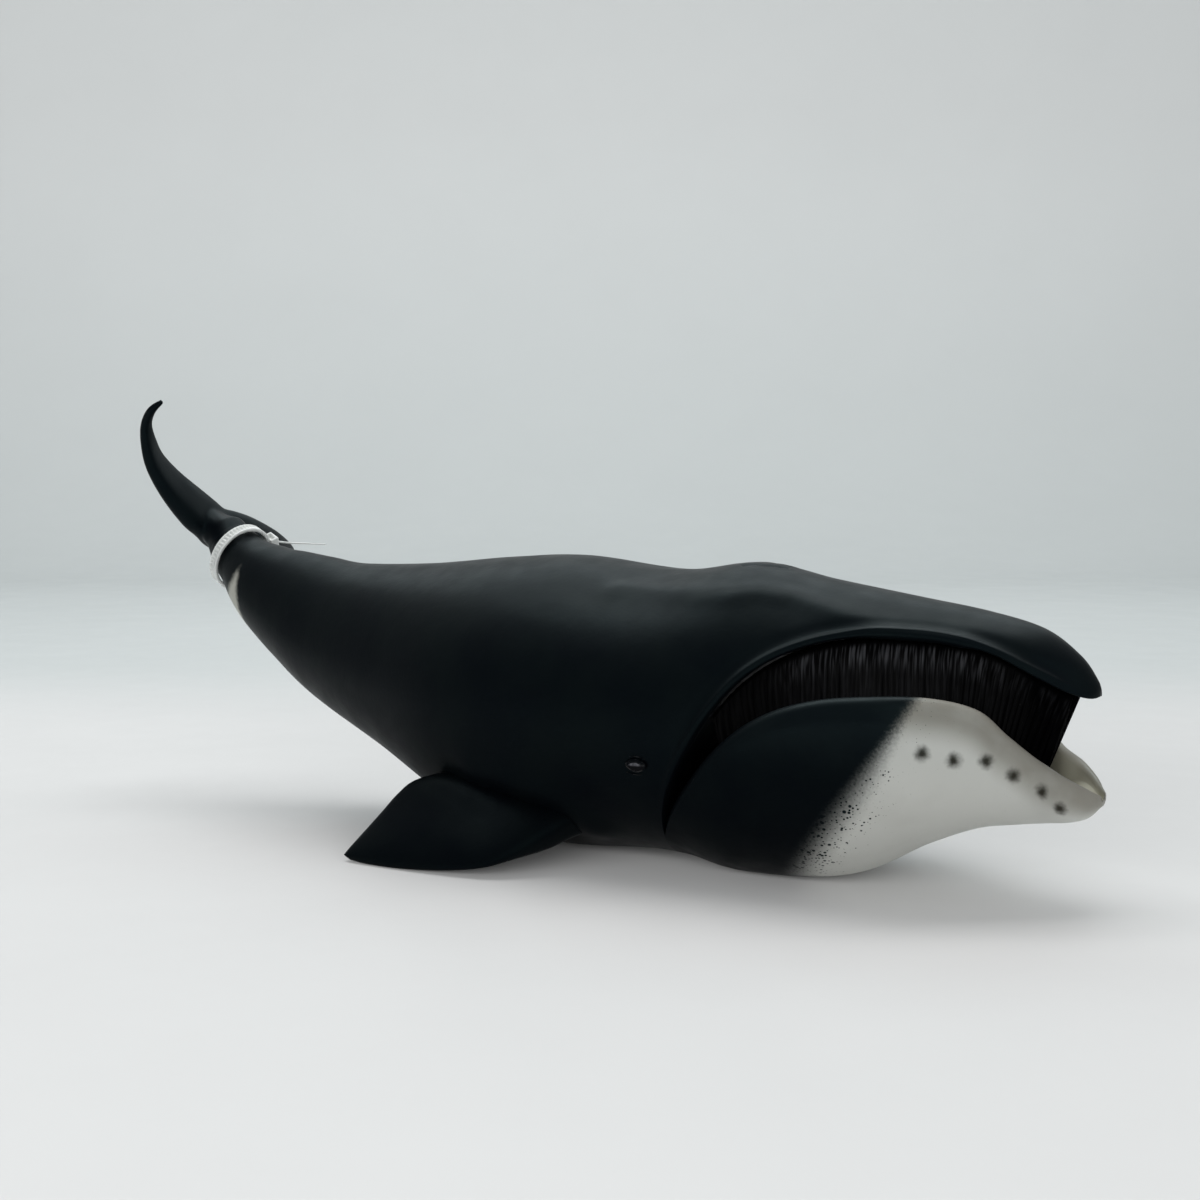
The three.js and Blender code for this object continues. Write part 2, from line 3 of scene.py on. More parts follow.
import bmesh
import bpy
import numpy as np
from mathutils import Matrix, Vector


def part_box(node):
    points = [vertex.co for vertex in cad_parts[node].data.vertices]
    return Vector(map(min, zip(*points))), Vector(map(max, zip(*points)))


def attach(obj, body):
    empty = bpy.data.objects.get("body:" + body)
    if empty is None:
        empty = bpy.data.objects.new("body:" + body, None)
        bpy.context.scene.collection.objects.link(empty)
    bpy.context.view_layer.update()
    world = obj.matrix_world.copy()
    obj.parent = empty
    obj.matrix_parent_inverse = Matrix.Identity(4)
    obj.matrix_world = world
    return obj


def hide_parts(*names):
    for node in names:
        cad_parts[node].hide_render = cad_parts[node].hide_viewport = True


# A moulded whale figurine with an open mouth, and a loose cable tie round its tail.
# Shapes are in millimetres in the figurine's own frame: x to the head, y to its left, z up.
# They move into the row frame, in metres, when they become meshes.

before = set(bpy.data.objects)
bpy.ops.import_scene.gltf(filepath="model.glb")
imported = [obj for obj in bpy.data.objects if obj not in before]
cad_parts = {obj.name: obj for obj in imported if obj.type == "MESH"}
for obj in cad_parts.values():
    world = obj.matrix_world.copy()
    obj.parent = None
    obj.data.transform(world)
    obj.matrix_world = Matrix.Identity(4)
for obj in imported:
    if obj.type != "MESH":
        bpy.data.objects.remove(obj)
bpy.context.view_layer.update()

MM = 0.001
UP = np.array([0.0, 0.0, 1.0])
NEARLY_UP = UP + 0.01
RIGHT_SIDE = -1
LEFT_SIDE = 1
SEED = 7
TINY = 1e-9

# Body and jaw: x, y, z of the middle, half width, reach up, reach down
BODY_STATIONS = [
    [-113, 7, 63.2, 4.8, 6.6, 3.3],
    [-108.5, 5.5, 60.4, 6.7, 6.9, 6.2],
    [-104, 4.2, 57.8, 7.35, 7.5, 7.15],
    [-97, 2.5, 53.4, 9.4, 10.8, 9.1],
    [-90, 1.4, 49.4, 11, 13.7, 10.5],
    [-80, 0.6, 45.1, 13.5, 16.5, 12.8],
    [-67, 0.1, 40.5, 17.1, 19.6, 15.9],
    [-47, 0, 36.2, 23.6, 24.4, 20.5],
    [-25, 0, 33.2, 30.6, 29.3, 28.4],
    [-5, 0, 31.8, 33, 31.4, 31.5],
    [20, 0, 31.5, 32.5, 29.5, 29.9],
    [38, 0, 31.5, 30, 31.5, 31.7],
    [54, 0, 31.5, 25.5, 28.7, 32],
    [72, 0, 31.5, 21.5, 25.9, 28],
    [86, 0, 31.5, 19, 23.7, 26],
    [97, 0, 31.5, 13.5, 20.9, 23],
    [104, 0, 31.5, 8, 16.2, 18],
    [107.3, 0, 31.5, 4.5, 12, 14],
    [108.3, 0, 31.5, 1.5, 9.8, 10],
]
JAW_STATIONS = [
    [16, 0, 31.5, 32.6, 30, 31.6],
    [36, 0, 31.5, 31, 30, 32],
    [52, 0, 31.2, 30.6, 30, 31.2],
    [64, 0, 30.8, 30, 29, 28.4],
    [76, 0, 30.8, 27.8, 26, 21.9],
    [86, 0, 30.6, 21.4, 22, 17.5],
    [93, 0, 29.4, 15.1, 18, 15],
    [98.5, 0, 27.4, 10.8, 14, 12.2],
    [103, 0, 25.2, 10, 10, 9.4],
    [106.4, 0, 23.2, 7.3, 6, 6.3],
    [108.4, 0, 21.8, 4, 3.4, 2.9],
    [109.4, 0, 21, 1.6, 1.3, 1.2],
]

# Edges of the mouth: x, z
LIP_EDGE = [
    [20, -14], [25.6, 3.4], [30, 16.4], [35.2, 26.6], [40.6, 35.5], [45.5, 41.7], [51, 46], [58, 49],
    [66, 50.6], [74, 50.8], [82, 50.3], [90.3, 48.4], [98.7, 44.1], [104, 41], [107.4, 39.9], [109.2, 41.2],
]
RIM_EDGE = [
    [23, 4], [27.5, 11], [32, 17.2], [37, 23.2], [42, 28.6], [48, 33.4], [55, 37.1], [63, 39.4],
    [72, 40.4], [81, 40.4], [89, 38.2], [94, 33.1], [98.5, 28.7], [103, 26], [106.5, 23.8], [109, 21.7],
    [112, 20],
]

# Body surface. A ridge or groove is given by its rise, place and width
HEAD_FROM_X = 24
REAR_STEP = 0.9
HEAD_STEP = 0.5
OVER_COLUMNS = 151
UNDER_COLUMNS = 39
ROUND_COLUMNS = 6
BELLY_ANGLE = math.radians(-65)
LIP_ROUND = 0.8
LIP_ROUND_LEAST = 0.12
LIP_ROUND_SHARE = 0.3
LIP_FADE = (12, 26)
TIP_FADE = (99, 107)
LIP_FLARE = (0.42, 0, 0.6)
LIP_FLARE_AT = 0.3
LIP_GROOVE = (-0.2, 2.2, 1.3)
PALATE_ARCH = 3.0
PALATE_FROM = (30, 45)
PALATE_FULL_WIDTH = 12
SHOULDER = [
    [14, 15.8, 57.5], [25, 15.6, 57.4], [33, 17.3, 57.1], [39, 16.5, 57.6], [44.4, 13.9, 58.3],
    [51.5, 12.2, 57.4], [57, 12.8, 55.8], [63.7, 13.4, 53.9], [70, 13.7, 52.2], [84.5, 12.4, 49.8],
]
SHOULDER_RIDGE = (0.6, 0, 3.2)
BLOWHOLE = [[36.5, 4.4], [40.5, 3.2], [44.5, 1.4]]
BLOWHOLE_SLIT = (-0.4, 0, 0.6)
BLOWHOLE_LIP = (0.1, 1.2, 0.6)
BLOWHOLE_ABOVE = (50, 56)
FLANK_FROM = (20, 24)
SOCKET_DIP = (-0.35, 0, 2.6)
BROW = (0.3, 0, 2.4)
BROW_PLACE = [25.6, 28.6]
BROW_STRETCH = 2
FLIPPER_SEAM = [[-13, 29.3, 18.8], [-6, 29.8, 18.2], [6, 28.5, 13], [11, 22.5, 7.4]]
SEAM_FLARE = (1.2, 0, 4.5)

# Jaw surface
JAW_FROM_X = 24.7
JAW_CORNER_X = 28
JAW_TO_X = 109.4
JAW_STEP = 0.5
JAW_TUCK = 2.0
JAW_TUCK_SLOPE = 0.4
JAW_BLEND = (27, 40)
JAW_FULLNESS = 0.25
JAW_FULL_FROM = (28, 42)
JAW_FULL_TO = (66, 86)
JAW_COLUMNS = 131
MOUTH_COLUMNS = 35
RIM_COLUMNS = 7
RIM_WIDTH = 3.4
RIM_ROUND = 2.0
RIM_ROUND_SHARE = 0.4
RIM_WIDTH_SHARE = 0.5
RIM_INSIDE = (0.6, 0.95)
MOUTH_FLOOR = 2.6
MOUTH_OPENS = (34, 48)
MOUTH_CLOSES = (97, 108)
MOUTH_BLUNTNESS = 2.4
RIM_SWELL = (0.5, 1.5, 2.6)
SWELL_FROM = (36, 52)
SWELL_TO = (100, 107)

# Baleen
BALEEN_FROM_X = 40.3
BALEEN_TO_X = 104
BALEEN_PITCH = 1.1
BALEEN_RIB_STEPS = 10
BALEEN_ROWS = 18
BALEEN_BACK_EVERY = 6
BALEEN_SETBACK = 2.2
BALEEN_HIDDEN = 6
BALEEN_TOP_GAP = 0.3
BALEEN_THICKNESS = 2.4
BALEEN_LEAN = (0.26, -0.36)
BALEEN_LEAN_TURN = (0.55, 1)
BALEEN_GROOVE = (0.25, 0.7)
BALEEN_GROOVE_WIDTH = 0.2
BALEEN_WANDER = 0.18
BALEEN_WAVES = 3
BALEEN_CURL = (0.9, 0, 2.0)
BALEEN_CLOSES = (90, 101)
BALEEN_GUM = (0.6, 2.0)
JAW_WALL = 2.6
RIM_GAP = 1.2

# Tongue
TONGUE_FROM_X = 42
TONGUE_TO_X = 94
TONGUE_MESH = (90, 56)
TONGUE_BLUNTNESS = 4
TONGUE_LEAST = 0.02
TONGUE_WIDTH_SHARE = 0.55
TONGUE_HEIGHT = 9
TONGUE_SUNK = 1.2
TONGUE_GROOVE = (-1.2, 0, 1.6)
TONGUE_TOP_FROM = 0.5

# Eyes
EYE_PLACE = [26, 24.4]
EYE_RISE = 0.6
EYE_DEPTH = 2.5
EYE_STEM = 0.8
EYE_TOP = 0.05
EYE_MESH = (12, 40)
EYE_OPEN = (1.9, 1.0)
LID_REACH = (2.0, 1.15)
LID_RADIUS = (0.22, 0.48)
LID_BLEND = (-0.6, 0.6)
LID_CORNER = 0.3
LID_STEPS = 72
BEAD_SIDES = 12
WRINKLES = [(1.65, 225, 290, 0.1), (1.75, 50, 112, 0.13)]
WRINKLE_SUNK = 0.4
WRINKLE_TAPER = (0.05, 0.95)
WRINKLE_STEPS = 40

# Flippers: x, z of the trailing edge and of the leading edge, lift, drop of the leading edge, thickness
FLIPPER_ROOT = [-3, -28, 17]
FLIPPER_TIP = [-39.5, -42, 0.6]
FLIPPER_TILT = 0.87
FLIPPER_BLUNT = 2.0
FLIPPER_MESH = (120, 72)
BLUNT_FADE = (0.2, 0.6)
FLIPPER_ROWS = [
    [-16, 22, 11, 19, -8, 5.4, 9],
    [-21.5, 19.2, 8.4, 14.8, -3.4, 5.4, 9],
    [-25.8, 17.2, 5.4, 10.4, -0.9, 4.7, 8.2],
    [-29.4, 15.4, 1.6, 6.4, 0, 2.6, 6],
    [-31.8, 12.8, -3.8, 2.8, 0, 0.4, 4.6],
    [-33.6, 9.4, -12, 1.2, 0, 0, 4.2],
    [-35.4, 6.2, -22.5, 0.4, 0, 0, 3.6],
    [-37.1, 3.2, -31.5, 0.3, 0, 0, 2.6],
    [-38.2, 1.2, -36.2, 0.6, 0, 0, 1.2],
]

# Flukes: share and reach of the leading edge and of the trailing edge, lift on the right and left, thickness
FLUKE_ROOT = [-118, 8.6, 65.8]
FLUKE_AFT = [-0.35, 0.6, 0.72]
FLUKE_LEFT = [0.2, 0.854, -0.49]
FLUKE_HALF_SPAN = 34.6
FLUKE_ROWS = [
    [0, -5.2, 0, 6.2, 0, 0, 7.4],
    [0.12, -4.8, 0.1, 6.9, 0, 1.5, 6.4],
    [0.26, -4.4, 0.22, 7.5, 0, 2.7, 5.8],
    [0.48, -1.6, 0.44, 8.3, 0.2, 3.4, 4.5],
    [0.685, 2.1, 0.63, 9.1, 1.3, 2.1, 3.5],
    [0.82, 6, 0.75, 10.3, 3.2, -1.2, 2.8],
    [0.915, 8.9, 0.85, 11, 5.9, -4.8, 2.3],
    [0.966, 10.4, 0.91, 11.4, 9.7, -8, 1.9],
    [0.95, 12, 0.918, 12.2, 13.1, -10.5, 1.4],
]
FLUKE_FLAT = 1.0
FLUKE_MESH = (180, 48)
FAIRING_WIDTH_SHARE = 1.6
FAIRING_THIN_SHARE = 0.42
FAIRING_START_X = -109.5
FAIRING_SWELL = (-0.15, 0.5)
FAIRING_STOCK_RINGS = 6
FAIRING_COLUMNS = 48
FAIRING_RINGS = 14
FLUKE_VOXEL = 0.3
FLUKE_SMOOTHING = 24

# Cable tie
TIE_PIVOT = [-104, 4.2, 57.8]
TIE_AXIS = [0.83933, -0.20444, -0.50371]
TIE_WIDTH = 2.5
TIE_THICKNESS = 0.9
TIE_INNER = 7.65
TIE_SLIDE = 3.0
TIE_TILT = (0.08, 0.1)
TIE_TEETH = 54
TIE_TOOTH_STEPS = 6
TIE_TOOTH = 0.45
TIE_TOOTH_EDGE = (-0.5, 0.5)
TIE_RECESS = 0.5
TIE_RAIL = 0.62
TIE_RAIL_SLOPE = 0.1
TIE_CHAMFER = 0.15
TIE_HEAD = (3.4, 3.2, 2.4)
TIE_HEAD_BEVEL = 0.35
TIE_BEVEL_STEPS = 3
TIE_BEVEL_PROFILE = 0.6
FACING = 0.9
TIE_SLOT_WALL = 0.65
TIE_SLOT_DEPTH = 0.9
TIE_HEAD_RISE = 0.6
TIE_HEAD_ANGLE = math.radians(25)
TIE_TAIL = [[0, 0, 1.4], [0.3, -0.5, 2.8], [1.3, -2.2, 5.7], [2.3, -4.4, 9.5], [3.2, -6.8, 13.4]]
TIE_TAIL_WIDTH = 1.9
TIE_TAIL_END_SHARE = 0.6
TIE_TAIL_NARROWS = (0.3, 1)
TIE_TAIL_CORNER = 0.8
TIE_TAIL_STEPS = 60
TIE_TAIL_THICKNESS = 0.45

# Paint, in linear colour
NOISE_SPAN = (0.3, 0.7)
WIDE_SPAN = (0.25, 0.75)
SKIN_DARK = (0.0012, 0.0018, 0.0032, 1)
SKIN_LIGHT = (0.0022, 0.0034, 0.0042, 1)
SKIN_TINT = (0.6, 0.96, 1.0, 1)
SKIN_SHEEN = (0.035, 0.075)
SHEEN_RISES = (18, 50)
COARSE_GRAIN = 3.0
PATCH_PALE = (0.44, 0.44, 0.39, 1)
PATCH_APEX = (-97.6, 57.4)
PATCH_SLOPES = (0.08, 0.85)
PATCH_FRONT = (-1.1, 1.3)
PATCH_REAR = (-1.2, 2.4)
CHIN_WHITE = (0.57, 0.57, 0.535, 1)
CHIN_SHADE = (0.2, 0.18, 0.145, 1)
CHIN_INNER = (0.45, 0.43, 0.34, 1)
CHIN_SPOT = (0.026, 0.018, 0.01, 1)
CHIN_BOUNDARY = (49.9, 1.02, -0.00691)
CHIN_EDGE = (-3.8, 6.0)
CHIN_EDGE_NARROWS = (18, 40)
WHITE_FADE = 1.8
WHITE_SHEEN = 0.2
JAW_SHEEN = (0.03, 0.13)
JAW_SHEEN_RISES = (24, 40)
INNER_PALES = (70, 84)
RIM_STAIN = (0.3, 6.5)
STAIN_SPAN = (0.1, 0.6)
HAZE_SPAN = (0.45, 0.8)
CHIN_SPOTS = [[82, 30.8], [86.8, 29.4], [91.6, 29], [95.7, 26.1], [100.3, 23.1], [103.2, 19.8]]
SPOT_STRETCH = 1.25
SPOT_REACH = (0.2, 2.1)
SPECKLE_CELLS = (1.1, 0.7)
SPECKLE_RADIUS = 0.5
SPECKLE_EDGE = (-0.08, 0.06)
SPECKLE_REACH = (0.5, 13)
SPECKLE_THINS = (12, 36)
# Baleen: dark plates, with a painted highlight in pale streaks near their top
BALEEN_DARK = (0.0008, 0.0008, 0.001, 1)
BALEEN_HIGHLIGHT = (0.06, 0.061, 0.066, 1)
BALEEN_DULLS = (92, 99)
BALEEN_MATTS = (92, 98)
STRAND_SIZE = 1 / 2.6
STRAND_STRETCH = 0.07
LIT_STARTS = (0.9, 2.0)
LIT_ENDS = (2.2, 7)
LIT_FROM_X = (48, 60)
LIT_TO_X = (86, 95)
LIT_STREAKS = (0.4, 0.75)
MOUTH_DARK = (0.05, 0.036, 0.032, 1)
MOUTH_LIGHT = (0.1, 0.075, 0.066, 1)
EYE_DARK = (0.004, 0.004, 0.005, 1)
# Eye, with a painted highlight: pale glints on its upper half
EYE_GLINT = (0.13, 0.13, 0.145, 1)
GLINT_RISES = (-0.1, 0.35)
GLINT_SPAN = (0.38, 0.55)
LID_SPAN = (0.42, 0.62)
NYLON_DARK = (0.7, 0.72, 0.7, 1)
NYLON_LIGHT = (0.84, 0.86, 0.84, 1)
NYLON_GLOW = 0.8
# Stage tones, with painted shade across the far floor and painted light higher up the wall
FLOOR_TONES = [(0.52, 0.52, 0.517, 1), (0.545, 0.545, 0.542, 1)]
FAR_PAINTED_SHADE_TONES = [(0.45, 0.47, 0.468, 1), (0.47, 0.49, 0.488, 1)]
HIGH_PAINTED_LIGHT_TONES = [(0.56, 0.575, 0.573, 1), (0.58, 0.595, 0.593, 1)]
STAGE_FADE = (150, 330)
WALL_RISES = (0, 430)

# Camera in millimetres, and stage and light in metres
VIEW_AZIMUTH = math.radians(30)
VIEW_ELEVATION = math.radians(5)
VIEW_DISTANCE = 376.74
VIEW_TARGET = [0, 0, 53.55]
LENS = 52
CLIP_START = 0.01
STAGE_NEAR = -2.5
STAGE_FAR = 0.75
STAGE_BEND = 0.45
STAGE_WALL = 2.2
STAGE_HALF_WIDTH = 3.0
STAGE_BEND_STEPS = 24
BACK_LIGHT = (0.84, 0.97, 1.0)
BACKDROP = (0.95, 0.98, 1.0, 1)
BACKDROP_STRENGTH = 0.4


def smoothstep(low, high, value):
    share = np.clip((value - low) / (high - low), 0, 1)
    return share * share * (3 - 2 * share)


def bell(offset, width):
    return np.exp(-((offset / width) ** 2))


def ridge(feature, gap):
    """Height of a rounded ridge or groove, from its rise, its place and its width."""
    rise, at, width = feature
    return rise * bell(gap - at, width)


def between(rises, falls, value):
    """One between two ramps, and nothing before and after them."""
    return smoothstep(*rises, value) * (1 - smoothstep(*falls, value))


def eased(count):
    """Shares from -1 to 1 that crowd together at both ends."""
    spread = np.linspace(-1, 1, count)
    return (spread + np.sin(spread * math.pi / 2)) / 2


def full_turn(count):
    return np.linspace(0, 2 * math.pi, count, endpoint=False)


def points_of(x, y, z):
    return np.stack(np.broadcast_arrays(x, y, z), axis=-1)


def grounded(grid):
    """The same points, none of them under the floor."""
    return points_of(grid[..., 0], grid[..., 1], np.maximum(grid[..., 2], 0))


def unit(vectors):
    return vectors / np.maximum(np.linalg.norm(vectors, axis=-1, keepdims=True), TINY)


def spline(points, shares):
    """Places at shares from 0 to 1 of the smooth curve through points, with evenly spaced knots."""
    points = np.asarray(points, float)
    padded = np.vstack([2 * points[0] - points[1], points, 2 * points[-1] - points[-2]])
    place = np.clip(shares, 0, 1) * (len(points) - 1)
    first = np.minimum(place.astype(int), len(points) - 2)
    t = (place - first)[:, None]
    before, start, end, after = (padded[first + k] for k in range(4))
    start_slope = (end - before) / 2
    end_slope = (after - start) / 2
    level = start * (2 * t**3 - 3 * t**2 + 1) + end * (3 * t**2 - 2 * t**3)
    return level + start_slope * (t**3 - 2 * t**2 + t) + end_slope * (t**3 - t**2)


class Loft:
    """An oval tube through stations along x. Its sections lean with the middle line, or stay upright."""

    TABLE = np.linspace(0, 1, 4001)
    STEP = 1e-4

    def __init__(self, stations, upright=False):
        self.stations = np.array(stations, float)
        self.upright = upright
        self.table_x = spline(self.stations, self.TABLE)[:, 0]

    def sections(self, x):
        """Middle, directions left and above, half width, reach up and reach down at each x."""
        share = np.interp(x, self.table_x, self.TABLE)
        rows = spline(self.stations, share)
        ahead = spline(self.stations, share + self.STEP) - spline(self.stations, share - self.STEP)
        ahead = ahead[:, :3]
        if self.upright:
            ahead[:, 2] = 0
        ahead = unit(ahead)
        left = unit(np.cross(UP, ahead))
        above = np.cross(ahead, left)
        return rows[:, :3], left, above, rows[:, 3], rows[:, 4], rows[:, 5]

    def half_width(self, x, z, grow=0.0):
        """Half the width at height z, where the tube runs level."""
        middle, _, _, half, up, down = self.sections(x)
        rise = z - middle[:, 2]
        reach = np.where(rise > 0, up, down) + grow
        return (half + grow) * np.sqrt(np.clip(1 - (rise / reach) ** 2, 0, 1))


BODY = Loft(BODY_STATIONS)
JAW = Loft(JAW_STATIONS, upright=True)


def edge_height(edge, x):
    table = spline(edge, Loft.TABLE)
    return np.interp(x, table[:, 0], table[:, 1])


def along_edge(edge, from_x, to_x, step):
    """Places along x that are evenly spaced on an edge line."""
    table = spline(edge, Loft.TABLE)
    table = table[(table[:, 0] >= from_x) & (table[:, 0] <= to_x)]
    length = np.concatenate([[0], np.cumsum(np.linalg.norm(np.diff(table, axis=0), axis=1))])
    return np.interp(np.arange(0, length[-1], step), length, table[:, 0])


def oval(sections, angle, fullness=2.0):
    """Points at angles round each section, one row a section. Over 2, fullness squares the lower half."""
    middle, left, above, half, up, down = sections
    cos, sin = np.cos(angle), np.sin(angle)
    swell = np.where(sin < 0, (np.abs(cos) ** fullness + np.abs(sin) ** fullness) ** (-1 / fullness), 1.0)
    reach = np.where(sin > 0, up[:, None], down[:, None])
    aside = left[:, None] * (half[:, None] * cos * swell)[..., None]
    return middle[:, None] + aside + above[:, None] * (reach * sin * swell)[..., None]


def inner_shares(count):
    return np.linspace(0, 1, count + 2)[1:-1]


def row_shift():
    """From the figurine's own frame to the row frame, in metres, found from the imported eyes."""
    right_low, right_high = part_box("eye_right")
    _, left_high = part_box("eye_left")
    x = (right_low[0] + right_high[0]) / 2 - EYE_PLACE[0] * MM
    return np.array([x, (right_low[1] + left_high[1]) / 2, 0])


SHIFT = row_shift()


def grid_faces(rows, columns, start=0):
    """Quads of a tube of rings, each ring closed."""
    ring, column = np.meshgrid(np.arange(rows - 1), np.arange(columns), indexing="ij")
    after = (column + 1) % columns
    quads = np.stack([ring * columns + column, ring * columns + after,
                      (ring + 1) * columns + after, (ring + 1) * columns + column], axis=-1)
    return (quads.reshape(-1, 4) + start).tolist()


def tube(grid):
    """Points and faces of a tube of rings, closed by a fan at each end."""
    rows, columns, _ = grid.shape
    ends = [grid[0].mean(axis=0), grid[-1].mean(axis=0)]
    points = np.vstack([grid.reshape(-1, 3), ends])
    faces = grid_faces(rows, columns)
    first, last = rows * columns, rows * columns + 1
    for k in range(columns):
        following = (k + 1) % columns
        faces.append([first, following, k])
        faces.append([last, (rows - 1) * columns + k, (rows - 1) * columns + following])
    return points, faces


def joined(*shapes):
    points = []
    faces = []
    start = 0
    for shape_points, shape_faces in shapes:
        points.append(shape_points)
        faces += [[start + k for k in face] for face in shape_faces]
        start += len(shape_points)
    return np.vstack(points), faces


def add(name, data):
    thing = bpy.data.objects.new(name, data)
    bpy.context.scene.collection.objects.link(thing)
    return thing


def add_mesh(name, points, faces, paint):
    mesh = bpy.data.meshes.new(name)
    mesh.from_pydata(points, [], faces)
    mesh.shade_smooth()
    mesh.materials.append(paint)
    return add(name, mesh)


def piece(name, shape, paint):
    """A smooth mesh object in the row frame, its faces turned outwards."""
    points, faces = shape
    thing = add_mesh(name, (points * MM + SHIFT).tolist(), faces, paint)
    edit = bmesh.new()
    edit.from_mesh(thing.data)
    bmesh.ops.recalc_face_normals(edit, faces=edit.faces)
    edit.to_mesh(thing.data)
    edit.free()
    return thing


def mark(thing, name, grid, ends=(0, 0)):
    """A number kept for the paint at each point of a tube and at the two points that close it."""
    attribute = thing.data.attributes.new(name, "FLOAT", "POINT")
    attribute.data.foreach_set("value", np.append(grid.ravel(), ends).astype(np.float32))


def place(thing, body, slot, *nodes):
    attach(thing, body)
    if nodes:
        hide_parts(*nodes)


def grid_normals(grid):
    along = np.gradient(grid, axis=0)
    around = np.roll(grid, -1, axis=1) - np.roll(grid, 1, axis=1)
    return unit(np.cross(around, along))


def distance_to_line(points, line):
    """Distance from each point to the nearest of a line's segments."""
    line = np.array(line)
    nearest = np.full(points.shape[:-1], np.inf)
    for start, end in zip(line[:-1], line[1:]):
        way = end - start
        share = np.clip((points - start) @ way / (way @ way), 0, 1)
        offset = points - start - share[..., None] * way
        nearest = np.minimum(nearest, np.linalg.norm(offset, axis=-1))
    return nearest


def edge_gap(arc):
    """Distance of each point of the rings from the edge that the first and last points run along."""
    lengths = np.linalg.norm(np.diff(arc, axis=1), axis=-1)
    travelled = np.concatenate([np.zeros((len(arc), 1)), np.cumsum(lengths, axis=1)], axis=1)
    nearest = np.minimum(travelled, travelled[:, -1:] - travelled)
    edge_way = unit(np.gradient(arc[:, -1], axis=0))
    ring_way = unit(arc[:, -2] - arc[:, -1])
    lean = np.sum(edge_way * ring_way, axis=-1)
    return nearest * np.sqrt(np.clip(1 - lean**2, 0, 1))[:, None]


# Body


def body_grid():
    """Rings of the body, and for each point its gap from the lip and whether it is on the outside."""
    rear = np.arange(BODY_STATIONS[0][0], HEAD_FROM_X, REAR_STEP)
    head = along_edge(LIP_EDGE, HEAD_FROM_X, BODY_STATIONS[-1][0], HEAD_STEP)
    x = np.concatenate([rear, head])
    sections = BODY.sections(x)
    middle, left, above, half, up, down = sections
    lip = edge_height(LIP_EDGE, x)
    drop = lip - middle[:, 2]
    reach = np.where(drop > 0, up, down)
    lip_angle = np.maximum(np.arcsin(np.clip(drop / reach, -1, 1)), BELLY_ANGLE)
    bend = np.maximum(LIP_ROUND * smoothstep(*LIP_FADE, lip), LIP_ROUND_LEAST)
    bend = np.minimum(bend, half * LIP_ROUND_SHARE)

    edge_angle = lip_angle + bend / np.minimum(half, reach)
    over = oval(sections, math.pi / 2 + eased(OVER_COLUMNS) * (math.pi / 2 - edge_angle)[:, None])
    corner_left = oval(sections, lip_angle[:, None])
    corner_right = oval(sections, math.pi - lip_angle[:, None])

    share = 2 * inner_shares(UNDER_COLUMNS) - 1
    wide = half * np.cos(lip_angle) - bend
    aside = share * wide[:, None]
    bowl = -down[:, None] * np.sqrt(np.clip(1 - (aside / half[:, None]) ** 2, 0, 1))
    arch = PALATE_ARCH * smoothstep(*PALATE_FROM, x) * np.minimum(1, wide / PALATE_FULL_WIDTH)
    roof = np.maximum(bowl, drop[:, None] + arch[:, None] * (1 - share**2))
    under = middle[:, None] + left[:, None] * aside[..., None] + above[:, None] * roof[..., None]

    bend_right = rounded(over[:, -1:], corner_right, under[:, :1])
    bend_left = rounded(under[:, -1:], corner_left, over[:, :1])
    grid = np.concatenate([over, bend_right, under, bend_left], axis=1)

    bends = np.zeros((len(x), ROUND_COLUMNS))
    inset = wide[:, None] * (1 - np.abs(share))
    gap = np.concatenate([edge_gap(over), bends, inset, bends], axis=1)
    outside = np.ones(grid.shape[1])
    outside[OVER_COLUMNS + ROUND_COLUMNS:-ROUND_COLUMNS] = 0
    return grid, gap, outside, lip


def rounded(start, corner, end):
    """Points of a rounded corner between two edges."""
    t = inner_shares(ROUND_COLUMNS)[:, None]
    return start * (1 - t) ** 2 + corner * 2 * t * (1 - t) + end * t**2


def body_relief(grid, gap, outside, lip):
    """How far each point of the body stands proud of the plain oval."""
    x, y, z = np.moveaxis(grid, -1, 0)
    mirrored = points_of(x, np.abs(y), z)
    fade = (smoothstep(*LIP_FADE, lip) * (1 - smoothstep(*TIP_FADE, x.mean(axis=1))))[:, None]
    relief = ridge(LIP_FLARE, gap - LIP_FLARE_AT * outside) * fade
    relief += ridge(LIP_GROOVE, gap) * fade * outside
    relief += ridge(SHOULDER_RIDGE, distance_to_line(mirrored, SHOULDER)) * outside
    relief += ridge(SEAM_FLARE, distance_to_line(mirrored, FLIPPER_SEAM)) * outside

    top = smoothstep(*BLOWHOLE_ABOVE, z) * outside
    slit = distance_to_line(mirrored[..., :2], BLOWHOLE)
    relief += (ridge(BLOWHOLE_SLIT, slit) + ridge(BLOWHOLE_LIP, slit)) * top

    flank = smoothstep(*FLANK_FROM, np.abs(y)) * outside
    socket = np.hypot(x - EYE_PLACE[0], z - EYE_PLACE[1])
    brow = np.hypot((x - BROW_PLACE[0]) / BROW_STRETCH, z - BROW_PLACE[1])
    return relief + (ridge(SOCKET_DIP, socket) + ridge(BROW, brow)) * flank


def body(paint):
    grid, gap, outside, lip = body_grid()
    grid = grid + grid_normals(grid) * body_relief(grid, gap, outside, lip)[..., None]
    skin = piece("body_skin", tube(grounded(grid)), paint)
    place(skin, "whale", "skin", "body_shell_right", "body_shell_left")


# Jaw


def jaw_sections(x):
    """The jaw's ovals, which meet the body's behind the corner of the mouth."""
    share = smoothstep(*JAW_BLEND, x)
    blended = []
    for of_jaw, of_body in zip(JAW.sections(x), BODY.sections(x)):
        weight = share[:, None] if of_jaw.ndim > 1 else share
        blended.append(of_body * (1 - weight) + of_jaw * weight)
    return blended


